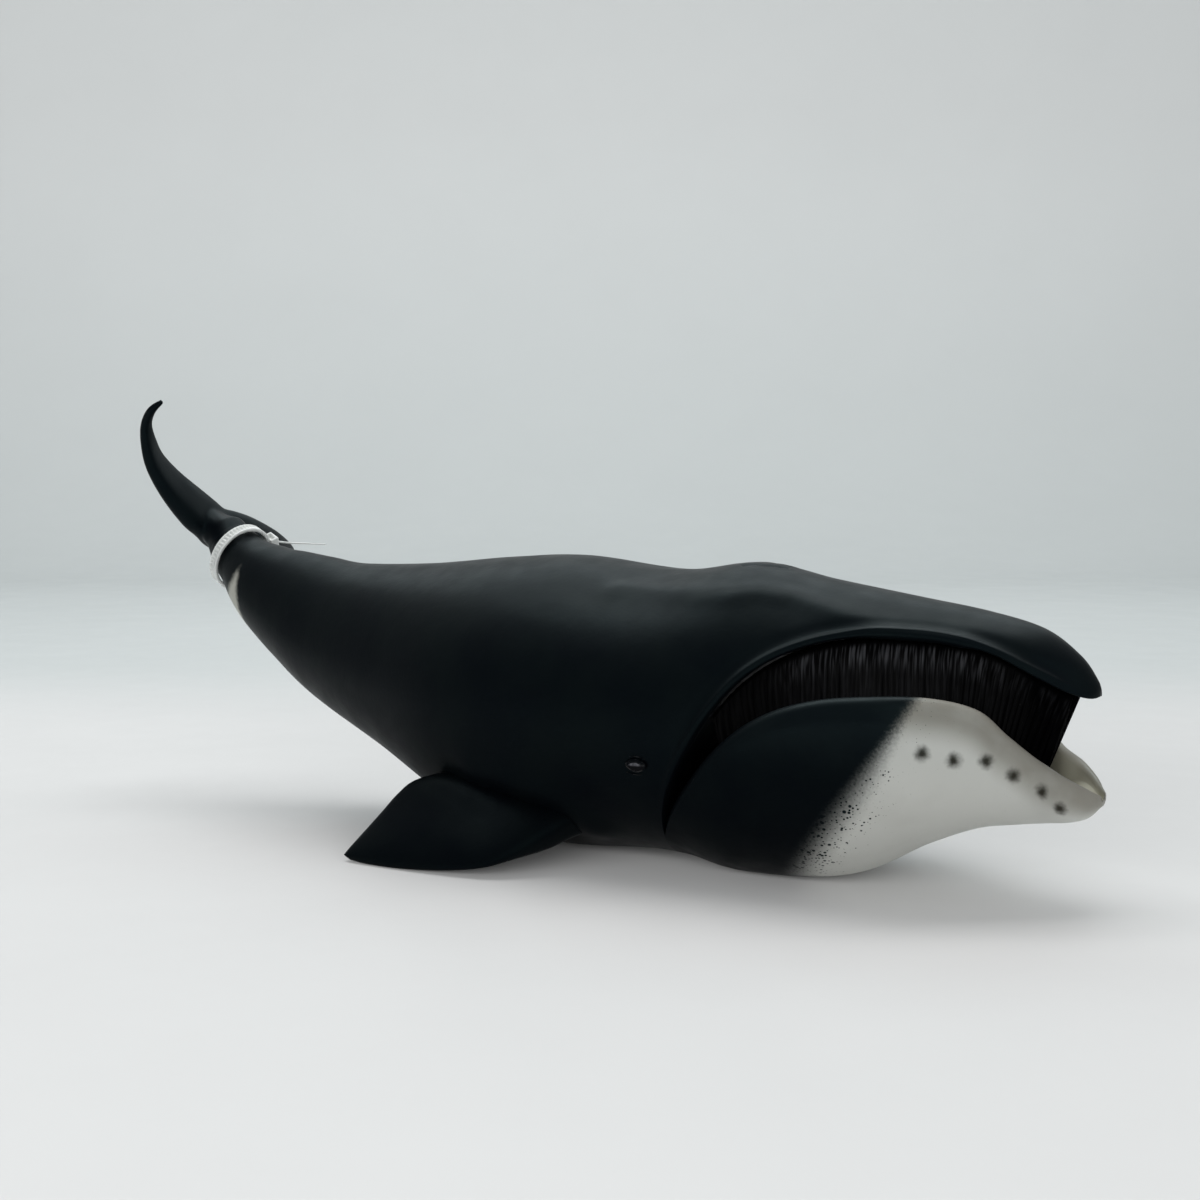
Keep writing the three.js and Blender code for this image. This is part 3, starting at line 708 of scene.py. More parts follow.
def jaw_grid():
    """Rings of the jaw, and for each point its gap from the rim and how far inside the mouth it is."""
    fold = along_edge(LIP_EDGE, JAW_FROM_X, JAW_CORNER_X, JAW_STEP)
    front = along_edge(RIM_EDGE, JAW_CORNER_X, JAW_TO_X, JAW_STEP)
    x = np.concatenate([fold, front])
    sections = jaw_sections(x)
    middle, _, _, half, up, down = sections
    lip = edge_height(LIP_EDGE, x)
    rim = np.minimum(edge_height(RIM_EDGE, x), lip + JAW_TUCK)
    bend = np.minimum(RIM_ROUND, half * RIM_ROUND_SHARE)
    base = rim - bend
    rise = base - middle[:, 2]
    reach = np.where(rise > 0, up, down)
    edge_angle = np.arcsin(np.clip(rise / reach, -1, 1))

    angle = -math.pi / 2 - eased(JAW_COLUMNS) * (math.pi / 2 + edge_angle)[:, None]
    fullness = 2 + JAW_FULLNESS * between(JAW_FULL_FROM, JAW_FULL_TO, x)
    outer = oval(sections, angle, fullness[:, None])
    beyond = np.clip(outer[..., 2] - lip[:, None], 0, None) * JAW_TUCK_SLOPE
    outer[..., 1] -= np.sign(outer[..., 1]) * beyond

    edge = np.abs(outer[:, -1, 1])
    wide = edge - np.minimum(RIM_WIDTH, edge * RIM_WIDTH_SHARE)
    share = 2 * inner_shares(MOUTH_COLUMNS) - 1
    depth = (base - (middle[:, 2] - down + MOUTH_FLOOR)) * between(MOUTH_OPENS, MOUTH_CLOSES, x)
    bowl = (1 - np.abs(share) ** MOUTH_BLUNTNESS) ** (1 / MOUTH_BLUNTNESS)
    inner = points_of(x[:, None], share * wide[:, None], base[:, None] - depth[:, None] * bowl)

    turn = inner_shares(RIM_COLUMNS) * math.pi
    rim_right = crest(outer[:, -1], points_of(x, -wide, base), bend, turn)
    rim_left = crest(points_of(x, wide, base), outer[:, 0], bend, turn)
    grid = np.concatenate([outer, rim_right, inner, rim_left], axis=1)

    gap = np.zeros(grid.shape[:2])
    gap[:, :JAW_COLUMNS] = edge_gap(outer)
    over = smoothstep(*RIM_INSIDE, turn / math.pi)
    inside = np.concatenate([np.zeros(JAW_COLUMNS), over, np.ones(MOUTH_COLUMNS), over[::-1]])
    return grid, gap, np.broadcast_to(inside, gap.shape)


def crest(start, end, height, turn):
    """A half round that joins two edges over the top of the rim."""
    middle = (start + end) / 2
    swing = (start - middle)[:, None] * np.cos(turn)[:, None]
    return middle[:, None] + swing + UP * (height[:, None] * np.sin(turn))[..., None]


def jaw(paint):
    grid, gap, inside = jaw_grid()
    fade = between(SWELL_FROM, SWELL_TO, grid[..., 0]) * (1 - inside)
    swell = ridge(RIM_SWELL, gap) * fade
    grid = grid - grid_normals(grid) * swell[..., None]
    scoop = piece("jaw_scoop", tube(grounded(grid)), paint)
    mark(scoop, "rim_gap", gap)
    mark(scoop, "inside", inside)
    place(scoop, "whale", "chin", "lower_jaw")


# Baleen and tongue


def to_side(points, side):
    """Points made for the right side, moved to the side asked for."""
    return points * np.array([1, -side, 1])


def baleen(side, name, paint):
    ribs = round((BALEEN_TO_X - BALEEN_FROM_X) / BALEEN_PITCH)
    dice = np.random.default_rng(SEED)
    depths = dice.uniform(*BALEEN_GROOVE, ribs + 2)
    sway = dice.uniform(0, 2 * math.pi, ribs + 2)
    run = np.linspace(0, 1, ribs * BALEEN_RIB_STEPS + 1)
    x = BALEEN_FROM_X + (BALEEN_TO_X - BALEEN_FROM_X) * run
    top = edge_height(LIP_EDGE, x) - BALEEN_TOP_GAP
    bottom = edge_height(RIM_EDGE, x) - BALEEN_HIDDEN
    top_half = BODY.half_width(x, top) - BALEEN_SETBACK
    bottom_half = JAW.half_width(x, bottom, -JAW_WALL - RIM_GAP)
    tall = top - bottom

    down_share = np.linspace(0, 1, BALEEN_ROWS)
    strand = (run * ribs)[:, None]
    home = np.clip((run * ribs).astype(int), 0, ribs)
    phase = strand + BALEEN_WANDER * np.sin(BALEEN_WAVES * down_share + sway[home][:, None])
    within = phase - np.floor(phase)
    hang = down_share * tall[:, None]
    groove = depths[home][:, None] * bell(np.minimum(within, 1 - within), BALEEN_GROOVE_WIDTH)
    groove = groove * smoothstep(*BALEEN_GUM, hang)
    flat = top_half[:, None] + (bottom_half - top_half)[:, None] * down_share
    curl = ridge(BALEEN_CURL, hang)
    rear_lean, front_lean = BALEEN_LEAN
    lean = rear_lean + (front_lean - rear_lean) * smoothstep(*BALEEN_LEAN_TURN, run)
    along = x[:, None] + (lean * tall)[:, None] * down_share
    height = top[:, None] - hang
    thick = BALEEN_THICKNESS + (flat - BALEEN_THICKNESS) * smoothstep(*BALEEN_CLOSES, x)[:, None]
    front = points_of(along, -(flat - curl - groove), height)
    back = points_of(along, -(flat - thick), height)

    grid = np.concatenate([front, back[:, ::-BALEEN_BACK_EVERY]], axis=1)
    hang = np.concatenate([hang, hang[:, ::-BALEEN_BACK_EVERY]], axis=1)
    rack = piece(f"{name}_plates", tube(to_side(grid, side)), paint)
    mark(rack, "hang", hang)
    mark(rack, "strand", np.broadcast_to(strand, hang.shape), ends=(0, ribs))
    place(rack, "whale", "baleen", name)


def sweep(path, radius, closed=False):
    """A round bead along a path."""
    if closed:
        ahead = unit(np.roll(path, -1, axis=0) - np.roll(path, 1, axis=0))
    else:
        ahead = unit(np.gradient(path, axis=0))
    aside = unit(np.cross(ahead, NEARLY_UP))
    above = np.cross(aside, ahead)
    turn = full_turn(BEAD_SIDES)[:, None]
    ring = aside[:, None] * np.cos(turn) + above[:, None] * np.sin(turn)
    grid = path[:, None] + ring * np.asarray(radius)[:, None, None]
    if not closed:
        return tube(grid)
    looped = np.concatenate([grid, grid[:1]])
    return looped.reshape(-1, 3), grid_faces(*looped.shape[:2])


def tongue(paint):
    rings, columns = TONGUE_MESH
    share = np.linspace(0, 1, rings)
    x = TONGUE_FROM_X + (TONGUE_TO_X - TONGUE_FROM_X) * share
    middle, left, above, half, _, down = JAW.sections(x)
    plump = np.sqrt(np.clip(1 - (2 * share - 1) ** TONGUE_BLUNTNESS, TONGUE_LEAST, 1))
    middle[:, 2] -= down - 2 * JAW_WALL
    half = (half - 2 * JAW_WALL) * TONGUE_WIDTH_SHARE * plump
    angle = full_turn(columns)
    grid = oval((middle, left, above, half, TONGUE_HEIGHT * plump, TONGUE_SUNK * plump), angle)
    on_top = np.sin(angle) > TONGUE_TOP_FROM
    grid[..., 2] += ridge(TONGUE_GROOVE, grid[..., 1]) * on_top * plump[:, None]
    place(piece("tongue_pad", tube(grid), paint), "whale", "mouth", "tongue")


# Eyes


def eye_frame():
    """The eye's place on the right flank, and the directions along, up and out of it."""
    x, z = EYE_PLACE
    middle, _, _, half, up, down = (values[0] for values in BODY.sections(np.array([x])))
    y = -BODY.half_width(np.array([x]), np.array([z]))[0]
    reach = up if z > middle[2] else down
    out = unit(np.array([0, y / half**2, (z - middle[2]) / reach**2]))
    ahead = np.array([1.0, 0, 0])
    return np.array([x, y, z]), ahead, np.cross(ahead, -out), out


def eye(side, name, paint):
    spot, ahead, above, out = eye_frame()
    rings, columns = EYE_MESH
    dome = np.linspace(1, EYE_TOP, rings) * math.pi / 2
    radii = np.concatenate([[EYE_STEM, 1], np.sin(dome)])
    rises = np.concatenate([[-EYE_DEPTH, -EYE_DEPTH * EYE_STEM], EYE_RISE * np.cos(dome)])
    turn = full_turn(columns)[:, None]
    ring = ahead * EYE_OPEN[0] * np.cos(turn) + above * EYE_OPEN[1] * np.sin(turn)
    grid = spot + ring * radii[:, None, None] + out * rises[:, None, None]
    bead = piece(f"{name}_bead", tube(to_side(grid, side)), paint)
    place(bead, "whale", "eye", name)


def lids(side, name, paint):
    """The ridges of the eyelids, with the folds of skin round them."""
    spot, ahead, above, _ = eye_frame()

    def ring(turn, scale, narrow):
        long, tall = LID_REACH
        along = np.outer(scale * long * np.cos(turn), ahead)
        return spot + along + np.outer(scale * tall * np.sin(turn) * narrow, above)

    turn = full_turn(LID_STEPS)
    path = ring(turn, 1, 1 - LID_CORNER * np.cos(turn) ** 2)
    lower, upper = LID_RADIUS
    radius = lower + (upper - lower) * smoothstep(*LID_BLEND, np.sin(turn))
    shapes = [sweep(to_side(path, side), radius, closed=True)]
    for scale, start, end, thick in WRINKLES:
        arc = np.radians(np.linspace(start, end, WRINKLE_STEPS))
        line = ring(arc, scale, 1)
        line[:, 1] = -BODY.half_width(line[:, 0], line[:, 2]) + thick * WRINKLE_SUNK
        taper = thick * np.sin(np.linspace(*WRINKLE_TAPER, WRINKLE_STEPS) * math.pi)
        shapes.append(sweep(to_side(line, side), taper))
    place(piece(name, joined(*shapes), paint), "whale", "skin")


# Flippers and flukes


def blade(first, second, thickness, mesh, flat=0.0, blunt=0.0):
    """Rings of a blade between two edges. Its faces can be flat, and the start of the second edge blunt."""
    rings, columns = mesh
    t = np.linspace(0, 1, rings)
    first = spline(first, t)
    second = spline(second, t)
    thick = spline(np.array(thickness, float)[:, None], t)[:, 0] / 2
    width = second - first
    middle = (first + second) / 2
    ahead = unit(np.gradient(first, axis=0)) + unit(np.gradient(second, axis=0))
    left = unit(width)
    above = unit(np.cross(ahead, left))
    half = np.linalg.norm(width, axis=1) / 2
    angle = full_turn(columns)
    grid = oval((middle, left, above, half, thick, thick), angle)
    bluntness = blunt * (1 - smoothstep(*BLUNT_FADE, t))[:, None]
    power = 2 + flat + np.where(np.cos(angle) > 0, bluntness, 0)
    swell = (np.abs(np.cos(angle)) ** power + np.abs(np.sin(angle)) ** power) ** (-1 / power)
    return middle[:, None] + (grid - middle[:, None]) * swell[..., None]


def flipper_face():
    """The direction out of the right flipper's plane."""
    way = unit(np.array(FLIPPER_TIP) - np.array(FLIPPER_ROOT))
    face = np.array([0, -1, FLIPPER_TILT])
    return unit(face - way * (face @ way))


def flipper(side, name, paint):
    face = flipper_face()
    trail_x, trail_z, lead_x, lead_z, lift, drop, thickness = np.array(FLIPPER_ROWS, float).T

    def edge(x, z, rise):
        root_x, root_y, root_z = FLIPPER_ROOT
        y = root_y - (face[0] * (x - root_x) + face[2] * (z - root_z)) / face[1]
        return points_of(x, y, z) + np.outer(rise, face)

    trail = edge(trail_x, trail_z, lift)
    lead = edge(lead_x, lead_z, lift - drop)
    grid = blade(trail, lead, thickness, FLIPPER_MESH, blunt=FLIPPER_BLUNT)
    paddle = piece(f"{name}_paddle", tube(to_side(grounded(grid), side)), paint)
    place(paddle, "whale", "skin", name)


def fluke_lobes():
    across = unit(np.array(FLUKE_AFT))
    left = np.array(FLUKE_LEFT)
    left = unit(left - across * (left @ across))
    face = np.cross(left, across)
    root = np.array(FLUKE_ROOT)
    right_rows = [[-s, a, -t, b, lift, thick] for s, a, t, b, lift, _, thick in FLUKE_ROWS]
    left_rows = [[s, a, t, b, lift, thick] for s, a, t, b, _, lift, thick in FLUKE_ROWS]
    lead_s, lead_a, trail_s, trail_a, lift, thick = np.array(right_rows[:0:-1] + left_rows, float).T

    def edge(share, aside):
        span = np.outer(share * FLUKE_HALF_SPAN, left)
        return root + span + np.outer(aside, across) + np.outer(lift, face)

    lead = edge(lead_s, lead_a)
    trail = edge(trail_s, trail_a)
    return blade(lead, trail, thick, FLUKE_MESH, flat=FLUKE_FLAT), root, across, face


def fluke_fairing(root, across, face):
    """The end of the tail stock, drawn out flat into the flukes."""
    x = np.linspace(FAIRING_START_X, BODY_STATIONS[0][0], FAIRING_STOCK_RINGS)
    swell = np.linspace(*FAIRING_SWELL, len(x))
    *places, half, up, down = BODY.sections(x)
    stock = [*places, half + swell, up + swell, down + swell]
    angle = full_turn(FAIRING_COLUMNS)
    over = oval(stock, angle)
    middle, stock_left, stock_above, half, up, down = (values[-1] for values in stock)
    stock_aft = -np.cross(stock_left, stock_above)
    end = root + across * FLUKE_ROWS[0][3] / 2
    thin = FLUKE_ROWS[0][-1] * FAIRING_THIN_SHARE
    t = np.linspace(0, 1, FAIRING_RINGS)[1:]

    def drawn(start, finish):
        return start + np.multiply.outer(t, finish - start)

    ahead = unit(drawn(stock_aft, across))
    above = drawn(stock_above, face)
    left = unit(np.cross(above, ahead))
    above = np.cross(ahead, left)
    sizes = [drawn(half, half * FAIRING_WIDTH_SHARE), drawn(up, thin), drawn(down, thin)]
    beyond = oval((drawn(middle, end), left, above, *sizes), math.pi - angle)
    return np.concatenate([over, beyond])


def flukes(paint):
    lobes, root, across, face = fluke_lobes()
    shape = joined(tube(lobes), tube(fluke_fairing(root, across, face)))
    tail = piece("tail_fluke_lobes", shape, paint)
    fuse = tail.modifiers.new("fuse", "REMESH")
    fuse.mode = "VOXEL"
    fuse.voxel_size = FLUKE_VOXEL * MM
    fuse.use_smooth_shade = True
    soften = tail.modifiers.new("soften", "SMOOTH")
    soften.iterations = FLUKE_SMOOTHING
    place(tail, "whale", "skin", "tail_flukes")
    return tail


# Cable tie


def tie_to_whale(points):
    """From the loop's own frame, with the lock head on its z axis, to the figurine's."""
    axis = np.array(TIE_AXIS)
    aside = unit(np.cross(UP, axis))
    ahead = unit(axis + aside * TIE_TILT[0] + np.cross(axis, aside) * TIE_TILT[1])
    left = unit(np.cross(UP, ahead))
    above = np.cross(ahead, left)
    angle = math.pi / 2 - TIE_HEAD_ANGLE
    cos, sin = math.cos(angle), math.sin(angle)
    x, y, z = np.moveaxis(points, -1, 0)
    turned = points_of(x * cos + z * sin, y, z * cos - x * sin)
    return turned @ np.array([left, -ahead, above]) + np.array(TIE_PIVOT) - axis * TIE_SLIDE


def tie_strap():
    """The loop, with a ladder of teeth between two rails on its outer face."""
    turn = np.linspace(0, 2 * math.pi, TIE_TEETH * TIE_TOOTH_STEPS + 1)
    inner = TIE_INNER
    outer = inner + TIE_THICKNESS
    inner_side = inner + TIE_CHAMFER
    outer_side = outer - TIE_CHAMFER
    half = TIE_WIDTH / 2
    edge = half - TIE_CHAMFER
    rail = TIE_RAIL * half
    rail_top = rail + TIE_RAIL_SLOPE
    floor = outer - TIE_RECESS + TIE_TOOTH * smoothstep(*TIE_TOOTH_EDGE, np.sin(turn * TIE_TEETH))
    rings = [
        (inner_side, -half), (outer_side, -half), (outer, -edge), (outer, -rail_top),
        (floor, -rail), (floor, 0), (floor, rail),
        (outer, rail_top), (outer, edge), (outer_side, half), (inner_side, half),
        (inner, edge), (inner, -edge),
    ]
    columns = [points_of(radius * np.sin(turn), y, radius * np.cos(turn)) for radius, y in rings]
    grid = tie_to_whale(np.stack(columns, axis=1))
    return grid.reshape(-1, 3), grid_faces(*grid.shape[:2])


def tie_tail():
    """The free end of the strap, which narrows to its tip."""
    share = np.linspace(0, 1, TIE_TAIL_STEPS)
    narrow = 1 - (1 - TIE_TAIL_END_SHARE) * smoothstep(*TIE_TAIL_NARROWS, share)
    half = TIE_TAIL_WIDTH / 2 * narrow
    thick = TIE_TAIL_THICKNESS / 2 * narrow
    path = tie_to_whale(spline(np.array(TIE_TAIL) + [0, 0, TIE_INNER], share))
    ahead = unit(np.gradient(path, axis=0))
    aside = unit(np.cross(ahead, UP))
    above = np.cross(aside, ahead)
    corner = TIE_TAIL_CORNER
    outline = [(-1, -corner), (-corner, -1), (corner, -1), (1, -corner),
               (1, corner), (corner, 1), (-corner, 1), (-1, corner)]
    columns = []
    for wide, tall in outline:
        columns.append(path + aside * (wide * half)[:, None] + above * (tall * thick)[:, None])
    return tube(np.stack(columns, axis=1))


def tie_head():
    """The lock head: a rounded block with a slot in each end."""
    wide, long, tall = TIE_HEAD
    edit = bmesh.new()
    bmesh.ops.create_cube(edit, size=1)
    bmesh.ops.scale(edit, vec=(long, wide, tall), verts=edit.verts)
    ends = [face for face in edit.faces if abs(face.normal.x) > FACING]
    outer_edges = list(edit.edges)
    bmesh.ops.inset_individual(edit, faces=ends, thickness=TIE_SLOT_WALL, depth=0)
    for end in ends:
        inward = -math.copysign(TIE_SLOT_DEPTH, end.normal.x)
        hole = bmesh.ops.extrude_discrete_faces(edit, faces=[end])["faces"]
        bmesh.ops.translate(edit, vec=(inward, 0, 0), verts=hole[0].verts)
    bmesh.ops.bevel(edit, geom=outer_edges, offset=TIE_HEAD_BEVEL, segments=TIE_BEVEL_STEPS,
                    profile=TIE_BEVEL_PROFILE, affect="EDGES")
    bmesh.ops.translate(edit, vec=(0, 0, TIE_INNER + TIE_HEAD_RISE + tall / 2), verts=edit.verts)
    edit.verts.index_update()
    points = np.array([list(vert.co) for vert in edit.verts])
    faces = [[vert.index for vert in face.verts] for face in edit.faces]
    edit.free()
    return tie_to_whale(points), faces


def cable_tie(paint):
    shape = joined(tie_strap(), tie_tail(), tie_head())
    place(piece("cable_tie_loop", shape, paint), "tie", "nylon", "cable_tie")


# Paint


class Paint:
    """A material's nodes, with a short call for each kind that is used."""

    NOISE_MIDDLE = 0.5
    NOISE_DETAIL = 3.0

    def __init__(self, name, **shader):
        self.material = bpy.data.materials.new(name)
        self.material.use_nodes = True
        self.tree = self.material.node_tree
        self.shader = self.tree.nodes["Principled BSDF"]
        for socket, value in shader.items():
            self.set(socket.replace("_", " "), value)
        self.place = self.figurine_place()
        self.x, _, self.z = self.node("ShaderNodeSeparateXYZ", {0: self.place}).outputs

    def set(self, socket, value):
        self.feed(self.shader.inputs[socket], value)

    def feed(self, socket, value):
        if isinstance(value, bpy.types.NodeSocket):
            self.tree.links.new(value, socket)
        else:
            socket.default_value = value

    def node(self, kind, inputs, **settings):
        node = self.tree.nodes.new(kind)
        for name, value in settings.items():
            setattr(node, name, value)
        for key, value in inputs.items():
            self.feed(node.inputs[key], value)
        return node

    def maths(self, operation, first, second=0.0, third=0.0):
        inputs = {0: first, 1: second, 2: third}
        return self.node("ShaderNodeMath", inputs, operation=operation).outputs[0]

    def vector(self, operation, first, second):
        return self.node("ShaderNodeVectorMath", {0: first, 1: second}, operation=operation).outputs

    def plus(self, first, second):
        return self.maths("ADD", first, second)

    def minus(self, first, second):
        return self.maths("SUBTRACT", first, second)

    def times(self, first, *others):
        for other in others:
            first = self.maths("MULTIPLY", first, other)
        return first

    def largest(self, first, *others):
        for other in others:
            first = self.maths("MAXIMUM", first, other)
        return first

    def figurine_place(self):
        """The place on the piece in millimetres, in the figurine's own frame."""
        place = self.node("ShaderNodeTexCoord", {}).outputs["Object"]
        moved = self.vector("SUBTRACT", place, tuple(SHIFT))[0]
        return self.vector("MULTIPLY", moved, (1 / MM, 1 / MM, 1 / MM))[0]

    def mix(self, share, first, second):
        inputs = {0: share, 6: first, 7: second}
        return self.node("ShaderNodeMix", inputs, data_type="RGBA").outputs[2]

    def step(self, value, low, high, start=0.0, end=1.0):
        inputs = {"Value": value, "From Min": low, "From Max": high, "To Min": start, "To Max": end}
        return self.node("ShaderNodeMapRange", inputs, interpolation_type="SMOOTHSTEP").outputs[0]

    def noise(self, size, detail=NOISE_DETAIL, place=None):
        """Noise with lumps of about that size in millimetres."""
        inputs = {"Vector": place or self.place, "Scale": 1 / size, "Detail": detail}
        return self.node("ShaderNodeTexNoise", inputs).outputs[0]

    def patchy(self, size, start, end, span=NOISE_SPAN):
        """A value that runs from start to end over lumps of about that size."""
        return self.step(self.noise(size), *span, start, end)

    def wander(self, size, reach, detail=NOISE_DETAIL):
        """An uneven offset to both sides of nothing."""
        return self.times(self.minus(self.noise(size, detail), self.NOISE_MIDDLE), reach)

    def roughen(self, size, start, end, span=NOISE_SPAN):
        self.set("Roughness", self.patchy(size, start, end, span))

    def attribute(self, name):
        return self.node("ShaderNodeAttribute", {}, attribute_name=name).outputs["Fac"]

    def bump(self, height, strength, depth):
        inputs = {"Height": height, "Strength": strength, "Distance": depth * MM}
        self.set("Normal", self.node("ShaderNodeBump", inputs).outputs[0])


def skin_grain(paint, strength):
    """The fine and coarse unevenness of the moulded skin."""
    fine = paint.noise(size=0.7, detail=2)
    coarse = paint.noise(size=4)
    paint.bump(paint.plus(fine, paint.times(coarse, COARSE_GRAIN)), strength, depth=0.05)


def dark_skin(paint):
    return paint.mix(paint.patchy(size=14, start=0.0, end=1.0), SKIN_DARK, SKIN_LIGHT)


def tail_patch(paint):
    """Share of the pale paint on the tail stock: a wedge on each side that widens to the underside."""
    apex_x, apex_z = PATCH_APEX
    front_slope, rear_slope = PATCH_SLOPES
    below = paint.minus(apex_z, paint.z)
    behind = paint.minus(apex_x, paint.x)
    front_gap = paint.plus(behind, paint.times(below, front_slope))
    rear_gap = paint.minus(paint.times(below, rear_slope), behind)
    wander = paint.wander(size=1.5, reach=1.6)
    front = paint.step(paint.plus(front_gap, wander), *PATCH_FRONT)
    rear = paint.step(paint.plus(rear_gap, wander), *PATCH_REAR)
    return paint.times(front, rear)


def skin_paint():
    paint = Paint("skin_paint", Specular_Tint=SKIN_TINT)
    paint.set("Specular IOR Level", paint.step(paint.z, *SHEEN_RISES, *SKIN_SHEEN))
    paint.set("Base Color", paint.mix(tail_patch(paint), dark_skin(paint), PATCH_PALE))
    paint.roughen(size=5, start=0.36, end=0.44, span=WIDE_SPAN)
    skin_grain(paint, strength=0.35)
    return paint.material


def chin_spots(paint):
    """Share of the spot paint: one soft round mark at each place, on both sides."""
    flat = {0: paint.times(paint.x, SPOT_STRETCH), 2: paint.z}
    flat = paint.node("ShaderNodeCombineXYZ", flat).outputs[0]
    wander = paint.wander(size=1.2, reach=1.2, detail=2)
    shares = []
    for x, z in CHIN_SPOTS:
        gap = paint.vector("DISTANCE", flat, (x * SPOT_STRETCH, 0, z))["Value"]
        shares.append(paint.step(paint.plus(gap, wander), *SPOT_REACH, start=1.0, end=0.0))
    return paint.largest(*shares)


def chin_speckles(paint, ahead):
    """Share of the speckle paint: fine dots just ahead of the edge of the white, more of them low down."""
    near = paint.step(ahead, *SPECKLE_REACH, start=1.0, end=0.0)
    low = paint.step(paint.z, *SPECKLE_THINS, start=1.0, end=0.3)
    thick = paint.times(near, low, paint.patchy(size=4, start=0.5, end=1.0))
    shares = []
    for cell in SPECKLE_CELLS:
        cells = paint.node("ShaderNodeTexVoronoi", {"Vector": paint.place, "Scale": 1 / cell})
        size = paint.node("ShaderNodeSeparateColor", {0: cells.outputs["Color"]}).outputs[0]
        reach = paint.times(thick, size, SPECKLE_RADIUS)
        shares.append(paint.step(paint.minus(reach, cells.outputs["Distance"]), *SPECKLE_EDGE))
    return paint.largest(*shares)


def chin_pale(paint, ahead):
    """The white of the chin, stained along its rim, with its spots and speckles."""
    stain = paint.step(paint.attribute("rim_gap"), *RIM_STAIN, start=0.8, end=0.0)
    stain = paint.times(stain, paint.patchy(size=8, start=0.7, end=1.0, span=STAIN_SPAN))
    haze = paint.patchy(size=12, start=0.0, end=0.1, span=HAZE_SPAN)
    pale = paint.mix(stain, CHIN_WHITE, CHIN_SHADE)
    pale = paint.mix(haze, pale, CHIN_SHADE)
    pale = paint.mix(chin_spots(paint), pale, CHIN_SPOT)
    return paint.mix(chin_speckles(paint, ahead), pale, SKIN_DARK)


def chin_paint():
    paint = Paint("chin_paint", Specular_Tint=SKIN_TINT)
    level, slope, curve = CHIN_BOUNDARY
    edge = paint.plus(paint.times(paint.z, curve), slope)
    edge = paint.plus(paint.times(paint.z, edge), level)
    ahead = paint.minus(paint.x, edge)
    soft = paint.step(paint.z, *CHIN_EDGE_NARROWS, start=1.0, end=0.35)
    dark_end, white_end = (paint.times(soft, gap) for gap in CHIN_EDGE)
    white = paint.step(paint.plus(ahead, paint.wander(size=0.5, reach=1.8)), dark_end, white_end)
    sheen = paint.step(paint.z, *JAW_SHEEN_RISES, *JAW_SHEEN)
    paint.set("Specular IOR Level", paint.maths("MULTIPLY_ADD", white, WHITE_SHEEN, sheen))

    dark = dark_skin(paint)
    outer = paint.mix(paint.maths("POWER", white, WHITE_FADE), dark, chin_pale(paint, ahead))
    inner = paint.mix(paint.step(paint.x, *INNER_PALES), dark, CHIN_INNER)
    paint.set("Base Color", paint.mix(paint.attribute("inside"), outer, inner))
    paint.roughen(size=5, start=0.38, end=0.5, span=WIDE_SPAN)
    skin_grain(paint, strength=0.3)
    return paint.material


def baleen_paint():
    paint = Paint("baleen_paint")
    paint.set("Specular IOR Level", paint.step(paint.x, *BALEEN_DULLS, start=0.05, end=0.01))
    hang = paint.attribute("hang")
    run = {0: paint.attribute("strand"), 1: paint.times(hang, STRAND_STRETCH)}
    strand = paint.node("ShaderNodeCombineXYZ", run).outputs[0]
    streak = paint.noise(STRAND_SIZE, detail=1.0, place=strand)
    # Painted highlight: pale streaks along the strands just under the top of the plates, fading down the
    # plates and towards the rear and the front
    lit = paint.times(paint.step(hang, *LIT_STARTS), paint.step(hang, *LIT_ENDS, start=1.0, end=0.1))
    lit = paint.times(lit, paint.step(paint.x, *LIT_FROM_X), paint.step(streak, *LIT_STREAKS))
    lit = paint.times(lit, paint.step(paint.x, *LIT_TO_X, start=1.0, end=0.15))
    paint.set("Base Color", paint.mix(lit, BALEEN_DARK, BALEEN_HIGHLIGHT))
    matt = paint.step(streak, *NOISE_SPAN, start=0.55, end=0.7)
    front = paint.step(paint.x, *BALEEN_MATTS, start=0.0, end=0.95)
    paint.set("Roughness", paint.largest(matt, front))
    paint.bump(streak, strength=0.3, depth=0.08)
    return paint.material


def mouth_paint():
    paint = Paint("mouth_paint", Specular_IOR_Level=0.35)
    paint.set("Base Color", paint.mix(paint.noise(size=4), MOUTH_DARK, MOUTH_LIGHT))
    paint.roughen(size=3, start=0.45, end=0.6)
    paint.bump(paint.noise(size=0.8), strength=0.3, depth=0.06)
    return paint.material


def eye_paint():
    paint = Paint("eye_paint", Specular_IOR_Level=0.03)
    # Painted highlight: pale glints in patches on the upper half of the eye
    low, high = (EYE_PLACE[1] + rise for rise in GLINT_RISES)
    upper = paint.step(paint.z, low, high)
    glint = paint.times(upper, paint.patchy(size=1.2, start=0.2, end=1.0, span=GLINT_SPAN))
    paint.set("Base Color", paint.mix(glint, EYE_DARK, EYE_GLINT))
    paint.roughen(size=2, start=0.06, end=0.12)
    return paint.material


def lid_paint():
    paint = Paint("lid_paint")
    paint.set("Specular IOR Level", paint.patchy(size=0.9, start=0.03, end=0.3, span=LID_SPAN))
    paint.set("Base Color", paint.mix(paint.noise(size=2), SKIN_DARK, SKIN_LIGHT))
    paint.roughen(size=1, start=0.1, end=0.2)
    return paint.material


def nylon_paint():
    paint = Paint("nylon_paint", Subsurface_Weight=0.35, Subsurface_Scale=NYLON_GLOW * MM)
    paint.set("Subsurface Radius", (1, 1, 1))
    paint.set("Base Color", paint.mix(paint.noise(size=3), NYLON_DARK, NYLON_LIGHT))
    paint.roughen(size=2, start=0.28, end=0.4)
    paint.bump(paint.noise(size=0.5), strength=0.2, depth=0.04)
    return paint.material


